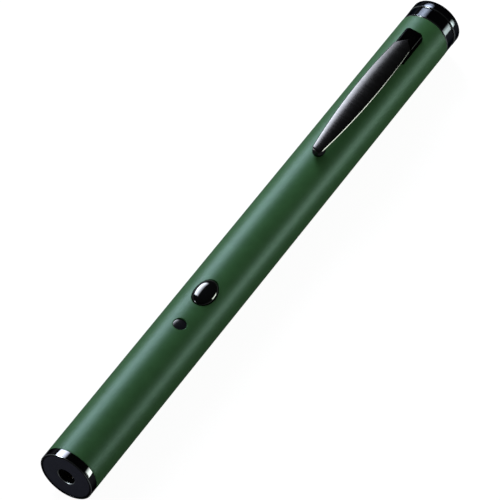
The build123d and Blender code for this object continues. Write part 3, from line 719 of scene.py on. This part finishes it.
@dataclass
class Barrel(Part):
    """The green tube with its two openings and the wider bore for the cap's neck."""

    front: float = 2.0
    rear: float = 153.7
    edge: float = 0.12
    support: float = 0.48
    lip: float = 0.13
    lip_steps: int = 4
    rings: int = 5
    hem: float = 0.04
    segments: int = 128
    shell: Shell = field(default_factory=Shell)
    counterbore: float = 5.75
    counterbore_depth: float = 4.2
    plain: tuple[float, ...] = (80.0, 100.0, 120.0, 140.0)
    openings: tuple[Opening, ...] = (
        Opening(x=43.9, half_length=1.55, half_width=1.55, patch=2.5, rows=8, columns=12),
        Opening(x=54.4, half_length=3.97, half_width=2.57, patch=5.5, rows=13, columns=26),
    )

    def bends(self) -> list[float]:
        """Angles in even steps through a quarter turn, for rounded edges."""
        return [QUARTER_TURN * k / self.lip_steps for k in range(self.lip_steps + 1)]

    def skin(self, radius: float, opening: Opening) -> list[int]:
        """Adds a patch of wall round an opening, and the lip where it is the outer wall.

        Args:
            radius: the wall's radius.
            opening: the opening.

        Returns:
            The ring at the opening's rim, or at the foot of the lip.
        """
        wide = opening.rows * tau / self.segments
        half = [(-1 + 2 * i / opening.columns, -1.0) for i in range(opening.columns)]
        half += [(1.0, -1 + i / opening.rows) for i in range(2 * opening.rows)]
        rim = [(u, v, atan2(v, u)) for u, v in [*half, *((-u, -v) for u, v in half)]]
        lip = self.lip if radius > BORE_RADIUS else 0.0
        levels: list[list[Point]] = []
        for share in (*(1 - k / self.rings for k in range(self.rings)), self.hem, 0.0):
            points = []
            for u, v, turn in rim:
                x = (opening.half_length + lip) * cos(turn)
                angle = asin((opening.half_width + lip) * sin(turn) / radius)
                x += (u * opening.patch - x) * share
                angle += (v * wide - angle) * share
                points.append((opening.x + x, radius * sin(angle), radius * cos(angle)))
            levels.append(points)
        for bend in self.bends()[1:] if lip else []:
            out, drop = lip * (1 - sin(bend)), lip * (1 - cos(bend))
            points = []
            for _, _, turn in rim:
                x = opening.x + (opening.half_length + out) * cos(turn)
                y = (opening.half_width + out) * sin(turn)
                points.append((x, y, sqrt(radius**2 - y**2) - drop))
            levels.append(points)
        return self.shell.join(levels)[-1]

    def wall(self, stations: list[Pair]) -> None:
        """Adds the plain wall round the axis between stations, leaving the openings' patches out.

        Args:
            stations: distances from the nose and radii, in order.
        """
        spins = turns(self.segments)
        rows = [self.shell.ring([(x, r * sin(t), r * cos(t)) for t in spins]) for x, r in stations]
        for (x, _), (after, _), one, other in zip(stations, stations[1:], rows, rows[1:]):
            holes = [hole for hole in self.openings if abs((x + after) / 2 - hole.x) < hole.patch]
            for k in range(self.segments):
                j = (k + 1) % self.segments
                side = k if k < self.segments / 2 else k - self.segments
                if not any(-hole.rows <= side < hole.rows for hole in holes):
                    self.shell.faces.append((one[k], one[j], other[j], other[k]))

    def stations(self) -> list[float]:
        """Works out where the wall's rows lie between the front and the rear edge.

        Returns:
            Their distances from the nose, in order.
        """
        cuts = list(self.plain)
        for hole in self.openings:
            cuts += [hole.x - hole.patch + 2 * hole.patch * i / hole.columns for i in range(hole.columns + 1)]
        return sorted({round(x, 6) for x in cuts})

    def build(self) -> None:
        """Builds the tube and fixes it."""
        arc = [(self.edge * (1 - sin(a)), BARREL_RADIUS - self.edge * (1 - cos(a))) for a in self.bends()]
        front = [(self.front + inset, radius) for inset, radius in reversed(arc)]
        rear = [(self.rear - inset, radius) for inset, radius in arc]
        rows = (self.front + self.support, *self.stations(), self.rear - self.support)
        self.wall([*front, *((x, BARREL_RADIUS) for x in rows), *rear])
        shoulder = self.rear - self.counterbore_depth
        inner = [
            front[0],
            (self.front, BORE_RADIUS),
            *((x, BORE_RADIUS) for x in self.stations()),
            (shoulder, BORE_RADIUS),
            (shoulder, self.counterbore),
            (self.rear, self.counterbore),
            rear[-1],
        ]
        self.wall(inner)
        for hole in self.openings:
            outside = self.skin(BARREL_RADIUS, hole)
            self.shell.bridge(outside, self.skin(BORE_RADIUS, hole))
        mesh = self.shell.mesh("barrel_tube", GREEN_COAT)
        self.shop.fix(mesh, Body.BARREL, "green_metal", "barrel", weighted=False)


@dataclass
class Nose(Part):
    """The chromed bezel and the charcoal face with the beam's hole."""

    radius: float = 6.5
    chamfer: float = 0.14
    recess: float = 6.0
    recess_depth: float = 1.4
    step: float = 2.0
    spigot: float = 5.4
    spigot_rear: float = 5.0
    spigot_bore: float = 4.7
    web_rear: float = 3.0
    window_seat: float = 3.25
    window_floor: float = 2.2
    window_opening: float = 2.6
    disc: float = 5.93
    disc_front: float = 0.12
    hole: float = 2.07
    hole_chamfer: float = 0.15
    rounds: Pair = (0.03, 0.05)
    step_round: float = 0.04
    spigot_round: float = 0.1
    disc_round: float = 0.12

    def build(self) -> None:
        """Builds the bezel, the face, the hole's bright edge and the painted shade on the hole's wall."""
        fine, soft = self.rounds
        bezel = rounded(
            (0.0, self.recess, fine),
            (0.0, self.radius - self.chamfer, fine),
            (self.chamfer, self.radius, soft),
            (self.step, self.radius, self.step_round),
            (self.step, self.spigot, 0.0),
            (self.spigot_rear, self.spigot, self.spigot_round),
            (self.spigot_rear, self.spigot_bore, self.spigot_round),
            (self.web_rear, self.spigot_bore, 0.0),
            (self.web_rear, self.window_opening, 0.0),
            (self.window_floor, self.window_opening, 0.0),
            (self.window_floor, self.window_seat, 0.0),
            (self.recess_depth, self.window_seat, 0.0),
            (self.recess_depth, self.recess, 0.0),
        )
        near = self.recess_depth / 2
        mesh = self.shop.turned("bezel_ring", bezel, BLACK_CHROME)
        paint(mesh, POLISHED_EDGE, (self.radius - self.chamfer + MARGIN, self.radius - MARGIN), near)
        self.shop.fix(mesh, Body.BARREL, "black_chrome", "nose_bezel")
        face = rounded(
            (self.disc_front, self.hole + self.hole_chamfer, fine),
            (self.disc_front, self.disc, self.disc_round),
            (self.recess_depth, self.disc, 0.0),
            (self.recess_depth, self.hole, 0.0),
            (self.disc_front + self.hole_chamfer, self.hole, self.step_round),
        )
        mesh = self.shop.turned("face_disc", face, CHARCOAL)
        wall = self.hole + 2 * MARGIN
        paint(mesh, CUT_EDGE, (wall, self.hole + self.hole_chamfer - MARGIN), near)
        # Painted shade: the hole's wall gets near-black gloss so that the deep hole reads dark.
        paint(mesh, GLOSS_BLACK_AND_HOLE_SHADE, (0.0, wall), self.recess_depth, HOLE_SHADE_SLOPES)
        self.shop.fix(mesh, Body.BARREL, "charcoal_metal", "aperture_disc")


@dataclass
class Button(Part):
    """The glossy oval push button."""

    x: float = 54.4
    half_length: float = 3.85
    half_width: float = 2.45
    base: float = 6.1705
    top: float = 7.3
    flange: float = 0.5
    flange_low: float = 3.9625
    flange_high: float = 4.4625
    ends: float = 3.5
    around: int = 96
    levels: int = 20

    def oval(self, share: float, height: float, grow: float = 0.0) -> list[Point]:
        """A ring of the button: a share of its oval, at a height, grown beyond it."""
        long, wide = (self.half_length + grow) * share, (self.half_width + grow) * share
        return [(self.x + long * cos(t), wide * sin(t), height) for t in turns(self.around)]

    def dome(self, share: float) -> list[Point]:
        """A ring of the dome, which is round across and nearly level along.

        Args:
            share: its size as a share of the whole oval.

        Returns:
            The ring's points.
        """
        points = []
        for x, y, _ in self.oval(share, self.base):
            along = abs(x - self.x) / self.half_length
            rise = sqrt((1 - along**self.ends) * (1 - share**2) / (1 - along**2))
            points.append((x, y, self.base + (self.top - self.base) * rise))
        return points

    def build(self) -> None:
        """Builds the button and fixes it."""
        shell = Shell()
        rings = [
            self.oval(1, self.flange_low, self.flange),
            self.oval(1, self.flange_high, self.flange),
            self.oval(1, self.flange_high),
            self.oval(1, self.base),
        ]
        rings += [self.dome(cos(QUARTER_TURN * k / self.levels)) for k in range(1, self.levels)]
        shell.stack(rings)
        mesh = shell.mesh("button_dome", GLOSS_BLACK_AND_HOLE_SHADE)
        self.shop.fix(mesh, Body.BUTTON, "gloss_black", "button_cap", weighted=False)


@dataclass
class Indicator(Part):
    """The small smoked lens in front of the button."""

    x: float = 43.9
    radius: float = 1.5
    top: float = 6.33
    sag: float = 0.15
    edge: float = 0.1
    flange: float = 1.9
    flange_low: float = 4.688
    flange_high: float = 4.988
    around: int = 64
    levels: int = 8

    def build(self) -> None:
        """Builds the lens and fixes it."""
        shares = [1 - k / self.levels for k in range(1, self.levels)]
        dome = [(self.radius * s, self.top - self.sag * s**2, 0.0) for s in shares]
        outline = rounded(
            (0.0, self.flange_low, 0.0),
            (self.flange, self.flange_low, 0.0),
            (self.flange, self.flange_high, 0.0),
            (self.radius, self.flange_high, 0.0),
            (self.radius, self.top - self.sag, self.edge),
            *dome,
            (0.0, self.top, 0.0),
            closed=False,
        )
        shell = Shell()
        spins = turns(self.around)
        shell.stack([[(self.x + r * cos(t), r * sin(t), z) for t in spins] for r, z in outline[1:-1]])
        self.shop.fix(shell.mesh("indicator_window", SMOKED_LENS), Body.BARREL, "smoked_lens", "indicator_lens")


@dataclass
class TailCap(Part):
    """The chromed screw cap with its plain neck, its sealing ring and its spring."""

    front: float = 153.7
    rear: float = 159.8
    band: float = 6.46
    end_band: float = 6.5
    chamfer: float = 0.4
    groove_low: float = 157.0
    groove_high: float = 157.5
    groove_floor: float = 6.11
    groove_chamfer: float = 0.18
    fillet: float = 0.04
    end_round: float = 0.16
    spigot_tip: float = 149.8
    core: float = 5.25
    gland_start: float = 152.5
    gland_end: float = 153.4
    gland_floor: float = 5.05
    cavity: float = 4.4
    cavity_end: float = 157.7
    spring_start: float = 149.91
    spring_radii: Pair = (2.6, 4.0)
    spring_turns: float = 5.0
    spring_wire: float = 0.3
    spring_room: float = 0.05
    gland_round: float = 0.03
    spigot_round: float = 0.1

    def build(self) -> None:
        """Builds the cap, its ring and its spring."""
        band, end, core, edge = self.band, self.end_band, self.core, self.fillet
        low, high, cut = self.groove_low, self.groove_high, self.groove_chamfer
        outline = rounded(
            (self.rear, 0.0, 0.0),
            (self.rear, end, self.end_round),
            (high + cut, end, edge),
            (high, end - cut, edge),
            (high, self.groove_floor, edge),
            (low, self.groove_floor, edge),
            (low, band - cut, edge),
            (low - cut, band, edge),
            (self.front + self.chamfer, band, edge),
            (self.front, band - self.chamfer, edge),
            (self.front, core, 0.0),
            (self.gland_end, core, self.gland_round),
            (self.gland_end, self.gland_floor, 0.0),
            (self.gland_start, self.gland_floor, 0.0),
            (self.gland_start, core, self.gland_round),
            (self.spigot_tip, core, self.spigot_round),
            (self.spigot_tip, self.cavity, self.spigot_round),
            (self.cavity_end, self.cavity, 0.0),
            (self.cavity_end, 0.0, 0.0),
            closed=False,
        )
        mesh = self.shop.turned("screw_cap", outline, TAIL_CHROME)
        paint(mesh, POLISHED_EDGE, (band - self.chamfer + MARGIN, end - MARGIN), high + cut)
        self.shop.fix(mesh, Body.CAP, "black_chrome", "tail_cap")
        self.shop.fix(self.spring(), Body.CARRIAGE, "spring_steel", "tail_spring", weighted=False)
        self.shop.dress(SEAL_RUBBER, "cap_ring")

    def spring(self) -> Mesh:
        """Winds the spring along the pen's axis.

        Returns:
            The spring's mesh.
        """
        lengths = {
            "Length": self.cavity_end - self.spring_start - self.spring_wire - self.spring_room,
            "Start Radius": self.spring_radii[0],
            "End Radius": self.spring_radii[1],
            "Wire Radius": self.spring_wire,
            "Start": self.spring_start - PEN_LENGTH / 2,
            "Axis Height": BARREL_RADIUS,
        }
        values = {name: length * MM for name, length in lengths.items()}
        values.update({"Turns": self.spring_turns, "Material": DRAWN_STEEL.material()})
        return self.shop.coil.mesh("contact_coil", bpy.data.meshes.new("contact_coil_base"), values)


@dataclass
class Clip(Part):
    """The spring clip: blade with a turned-down tip, base, pin and spring."""

    tip: float = 101.0
    root: float = 143.2
    tip_half: float = 1.2
    root_half: float = 2.0
    bulge: float = 1.05
    point: float = 2.3
    point_end: float = 0.1
    tip_height: float = 9.62
    root_height: float = 8.92
    arch: float = 0.2
    thickness: float = 0.45
    crown: float = 0.08
    corner: float = 1.0
    edge: float = 0.1
    bevel: Pair = (0.13, 0.155)
    fillet: float = 0.04
    turn_down: float = 0.85
    bead_half: Point = (1.9, 1.5, 1.515)
    bead_low: float = 6.56
    pin_x: float = 140.2
    pin_height: float = 7.6
    cheek_inner: float = 1.5625
    cheek_outer: float = 2.0625
    cheek_radius: float = 0.64
    pin_hole: float = 0.39
    tip_least: float = 0.3
    bend_steps: int = 9
    leaf_steps: int = 60
    point_steps: int = 24
    crown_steps: int = 8
    fillet_steps: int = 3
    bead_around: int = 40
    bead_levels: int = 20
    cheek_around: int = 32
    leaf: Shell = field(default_factory=Shell)
    foot: Shell = field(default_factory=Shell)

    def bowed(self, x: float, tip: float, root: float, bow: float) -> float:
        """A measure that runs straight from the blade's tip to its root, and bows in between."""
        share = (x - self.tip) / (self.root - self.tip)
        return tip * (1 - share) + root * share + bow * 4 * share * (1 - share)

    def leaf_half(self, x: float) -> float:
        """Half the leaf's width at a distance from the nose, without its rounded tip and pointed root."""
        return self.bowed(x, self.tip_half, self.root_half, self.bulge)

    def half_widths(self, x: float) -> Pair:
        """The blade's half width at a distance from the nose.

        Args:
            x: the distance.

        Returns:
            The half width that sets the crown, and the half width of the blade itself.
        """
        full = self.leaf_half(x)
        distance = x - self.tip
        if distance < self.corner:
            full -= self.corner - sqrt(max(self.corner**2 - (self.corner - distance) ** 2, 0.0))
            full = max(full, self.tip_least)
        slope = self.leaf_half(self.root - self.point) / self.point
        return full, min(full, max((self.root - x) * slope, self.point_end))

    def edge_height(self, x: float) -> float:
        """Height of the blade's long edges over the pen's axis."""
        return self.bowed(x, self.tip_height, self.root_height, self.arch)

    def spine(self) -> list[tuple[float, float, float, float]]:
        """The blade's middle line from its turned-down tip to its root.

        Returns:
            Points as distance from the nose, height of the edges, tilt of the section and the
            distance along the blade that gives its width.
        """
        bend = self.turn_down
        middle = self.tip + bend
        top = self.edge_height(middle)
        points = []
        for k in range(self.bend_steps):
            turn = QUARTER_TURN * (1 - k / self.bend_steps)
            x, height = middle - bend * sin(turn), top - bend * (1 - cos(turn))
            points.append((x, height, turn, middle - bend * turn))
        lowest = points[0][3]
        points = [(x, h, t, self.tip + (s - lowest) * bend / (middle - lowest)) for x, h, t, s in points]
        shoulder = self.root - self.point
        stations = [middle + (shoulder - middle) * k / self.leaf_steps for k in range(self.leaf_steps)]
        stations += [shoulder + self.point * k / self.point_steps for k in range(self.point_steps + 1)]
        return points + [(x, self.edge_height(x), 0.0, x) for x in stations]

    def section(self, full: float, half: float) -> list[Pair]:
        """The blade's cross-section: crowned top, bevelled long edges and flat underside.

        Args:
            full: the half width that sets the crown.
            half: half the blade's width.

        Returns:
            Points as offset across and height over the long edges.
        """
        share = min(1.0, half / 2 / self.bevel[0])
        inner = half - self.bevel[0] * share
        fillet = self.fillet * share
        left = []
        for k in range(1, self.crown_steps + 1):
            y = inner * k / self.crown_steps
            height = 2 * full * self.crown * (1 - (y / full) ** 2)
            left.append((-y, height, fillet if k == self.crown_steps else 0.0))
        left.append((-half, left[-1][1] - self.bevel[1] * share, fillet))
        left.append((-half, -self.thickness, self.edge * share))
        left.append((-half / 2, -self.thickness, 0.0))
        crest = (0.0, 2 * full * self.crown)
        middle = (0.0, -self.thickness)
        side = rounded((*crest, 0.0), *left, (*middle, 0.0), steps=self.fillet_steps, closed=False)[1:-1]
        return [crest, *side, middle, *((-y, z) for y, z in reversed(side))]

    def blade(self) -> None:
        """Adds the blade's leaf."""
        rings = []
        for x, height, tilt, along in self.spine():
            sine, cosine = sin(tilt), cos(tilt)
            section = self.section(*self.half_widths(along))
            rings.append([(x - z * sine, y, height + z * cosine) for y, z in section])
        self.leaf.stack(rings)

    def bead(self) -> None:
        """Adds the bead under the blade's tip."""
        long, wide, tall = self.bead_half
        rings = []
        for k in range(1, self.bead_levels):
            turn = pi * k / self.bead_levels
            x, y, z = long * sin(turn), wide * sin(turn), self.bead_low + tall * (1 - cos(turn))
            spins = turns(self.bead_around)
            rings.append([(self.tip + long + x * cos(t), y * sin(t), z) for t in spins])
        self.foot.stack(rings)

    def cheeks(self) -> None:
        """Adds the two cheeks with their pin holes."""
        top = self.edge_height(self.pin_x) - self.thickness / 2
        outline, hole = [], []
        for turn in turns(self.cheek_around):
            x, z = sin(turn), cos(turn)
            hole.append((self.pin_x + self.pin_hole * x, self.pin_height + self.pin_hole * z))
            if z > 0:
                rise = (top - self.pin_height) / self.cheek_radius / max(z, TINY)
                reach = min(1 / max(abs(x), TINY), rise)
                x, z = x * reach, z * reach
            outline.append((self.pin_x + self.cheek_radius * x, self.pin_height + self.cheek_radius * z))
        inner, outer = self.cheek_inner, self.cheek_outer
        for side in (-1, 1):
            edges = ((outline, inner), (outline, outer), (hole, outer), (hole, inner))
            loops = [self.foot.ring([(x, side * y, z) for x, z in edge]) for edge, y in edges]
            for one, other in zip(loops, [*loops[1:], loops[0]]):
                self.foot.bridge(one, other)

    def build(self) -> None:
        """Builds the clip's pieces and fixes them."""
        self.blade()
        self.shop.fix(self.leaf.mesh("clip_leaf", BRUSHED_CHROME), Body.CLIP, "black_chrome", "clip_blade")
        self.bead()
        self.cheeks()
        mesh = self.foot.mesh("clip_bead_and_cheeks", BLACK_CHROME)
        self.shop.fix(mesh, Body.CLIP, "black_chrome", "clip_blade", weighted=False)
        self.shop.dress(DARK_CHROME, "clip_base")
        self.shop.dress(BLACK_CHROME, "clip_pin")
        self.shop.dress(DRAWN_STEEL, "clip_spring")


@dataclass
class Inside(Part):
    """What the pen holds: module, board, switch and cells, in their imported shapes."""

    finishes: tuple[tuple[Finish, tuple[str, ...]], ...] = (
        (CLEAR_GLASS, ("aperture_window", "collimating_lens", "infrared_filter", "expander_lens")),
        (TURNED_BRASS, ("module_housing", "lens_holder", "crystal_holder", "diode_clamp_ring", "front_contact")),
        (LASER_CRYSTAL, ("laser_crystal",)),
        (DRAWN_STEEL, ("lens_spring", "pump_diode", "switch_body")),
        (BOARD_MASK, ("main_board",)),
        (PALE_PLASTIC, ("board_carrier", "switch_plunger")),
        (BLUE_PLASTIC, ("trimmer",)),
        (BLACK_EPOXY, ("driver_chip", "chip_components")),
        (LAMP_RESIN, ("indicator_led",)),
        (NICKEL_CAN, ("cell_front", "cell_rear")),
        (CELL_SLEEVE, ("cell_front_sleeve", "cell_rear_sleeve")),
    )

    def build(self) -> None:
        """Dresses the inner nodes."""
        for finish, nodes in self.finishes:
            self.shop.dress(finish, *nodes)


@dataclass
class Softbox:
    """A rectangular lamp that faces the pen, in metres, watts and degrees."""

    name: str
    turn: float
    reach: float
    along: float
    length: float
    width: float
    power: float
    colour: Colour
    dim: float = 1.0
    fade: Pair = (0.4, 0.6)
    haze: Pair = (-1.0, 0.0)

    def soften(self, lamp: AreaLight) -> None:
        """Lets the lamp's light fade towards its far end and towards one long edge.

        Args:
            lamp: the lamp's data.
        """
        lamp.use_nodes = True
        tree = Nodes(lamp.node_tree)
        shine = next(node for node in tree.group.nodes if node.type == "EMISSION")
        spot = tree.add("ShaderNodeNewGeometry").outputs["Parametric"]
        parts = tree.add("ShaderNodeSeparateXYZ", {0: spot}).outputs
        fade = tree.span(parts["X"], self.fade, (1.0, self.dim), "SMOOTHSTEP")
        haze = tree.span(parts["Y"], self.haze, (0.0, 1.0))
        tree.group.links.new(tree.calc("MULTIPLY", fade, haze), shine.inputs["Strength"])

    def hang(self) -> None:
        """Hangs the lamp beside the pen."""
        lamp = bpy.data.lights.new(self.name, "AREA")
        lamp.shape = "RECTANGLE"
        lamp.size, lamp.size_y = self.length, self.width
        lamp.energy = self.power
        lamp.color = self.colour
        self.soften(lamp)
        piece = put(self.name, lamp)
        angle = radians(self.turn)
        out = Vector((0, sin(angle), cos(angle)))
        along = Vector((1, 0, 0))
        piece.location = along * self.along + out * self.reach + Vector((0, 0, BARREL_RADIUS * MM))
        piece.rotation_mode = "QUATERNION"
        piece.rotation_quaternion = Quaternion(along, -angle)
        log.info("lamp %s", self.name)


@dataclass
class Studio:
    """Floor, surroundings, lamps and camera, in metres, with the camera's lens in millimetres."""

    floor_size: float = 6.0
    floor_colour: Colour = (0.08, 0.08, 0.08)
    glow: float = 0.95
    mirror_glow: float = 0.05
    horizon_band: Pair = (0.04, 0.2)
    horizon: Pair = (0.18, 0.02)
    fill: float = 0.35
    sensor: float = 36.0
    lens: float = 233.708
    sight: Pair = (0.01, 20.0)
    place: Point = (-0.4143372, -0.1682790, 0.5857203)
    turn: tuple[float, float, float, float] = (0.8367893, 0.2465966, -0.2046478, -0.4439516)
    softboxes: tuple[Softbox, ...] = (
        Softbox(
            "left softbox", turn=48.0, reach=0.62, along=0.38, length=0.5, width=0.6, power=22.0,
            colour=(0.83, 0.89, 1.0), dim=0.28, fade=(0.84, 0.9), haze=(0.16, 0.56),
        ),
        Softbox(
            "right softbox", turn=-73.5, reach=0.62, along=0.44, length=0.36, width=0.337, power=7.4,
            colour=(0.9, 1.0, 0.86), dim=0.4, fade=(0.75, 0.9), haze=(0.95, 0.45),
        ),
        Softbox(
            "front softbox", turn=64.0, reach=0.75, along=-0.72, length=0.4, width=0.3, power=4.3,
            colour=(0.9, 0.96, 1.0),
        ),
    )

    def floor(self) -> None:
        """Lays the pale floor: it keeps shadows, shows white to the eye and only a faint glow in metal and glass."""
        tree = Shader("pale floor")
        camera, mirrored = tree.rays()
        reflected = tree.calc("MULTIPLY", mirrored, self.mirror_glow)
        level = tree.calc("MULTIPLY_ADD", camera, self.glow, reflected)
        diffuse = tree.add("ShaderNodeBsdfDiffuse", {"Color": (*self.floor_colour, 1)})
        shine = tree.add("ShaderNodeEmission", {"Color": WHITE, "Strength": level})
        both = tree.add("ShaderNodeAddShader", {0: diffuse.outputs[0], 1: shine.outputs[0]})
        tree.add("ShaderNodeOutputMaterial", {"Surface": both.outputs[0]})
        half = self.floor_size / 2
        mesh = bpy.data.meshes.new("floor")
        mesh.from_pydata([(-half, -half, 0), (half, -half, 0), (half, half, 0), (-half, half, 0)], [], [(0, 1, 2, 3)])
        mesh.materials.append(tree.material)
        piece = put("floor", mesh)

    def surroundings(self) -> None:
        """Makes a plain soft world: even fill on the object, white to the eye, and in metal and glass a dim band that
        fades upwards from the horizon.
        """
        world = bpy.data.worlds.new("studio")
        world.use_nodes = True
        bpy.context.scene.world = world
        tree = Nodes(world.node_tree)
        tree.group.nodes.clear()
        way = tree.add("ShaderNodeTexCoord").outputs["Generated"]
        height = tree.add("ShaderNodeSeparateXYZ", {0: way}).outputs["Z"]
        level = tree.span(height, self.horizon_band, self.horizon)
        fill = tree.add("ShaderNodeBackground", {"Strength": self.fill}).outputs[0]
        reflected = tree.add("ShaderNodeBackground", {"Strength": level}).outputs[0]
        seen = tree.add("ShaderNodeBackground").outputs[0]
        camera, mirrored = tree.rays()
        unseen = tree.add("ShaderNodeMixShader", {0: mirrored, 1: fill, 2: reflected}).outputs[0]
        mix = tree.add("ShaderNodeMixShader", {0: camera, 1: unseen, 2: seen}).outputs[0]
        tree.add("ShaderNodeOutputWorld", {"Surface": mix})

    def camera(self) -> None:
        """Sets the camera at the photograph's viewpoint."""
        data = bpy.data.cameras.new("camera")
        data.lens = self.lens
        data.sensor_width = self.sensor
        data.clip_start, data.clip_end = self.sight
        piece = put("camera", data)
        piece.location = self.place
        piece.rotation_mode = "QUATERNION"
        piece.rotation_quaternion = Quaternion(self.turn)
        bpy.context.scene.camera = piece

    def build(self) -> None:
        """Builds the studio."""
        bpy.context.scene.view_settings.view_transform = "Standard"
        self.camera()
        self.floor()
        self.surroundings()
        for lamp in self.softboxes:
            lamp.hang()


def main() -> None:
    """Loads the frame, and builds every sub-assembly and the studio."""
    logging.basicConfig(level=logging.INFO, format="%(name)s: %(message)s")
    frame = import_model()
    Studio().build()
    shop = Workshop(frame)
    for part in (Barrel, Nose, Button, Indicator, TailCap, Clip, Inside):
        part(shop).build()


if __name__ == "__main__":
    main()
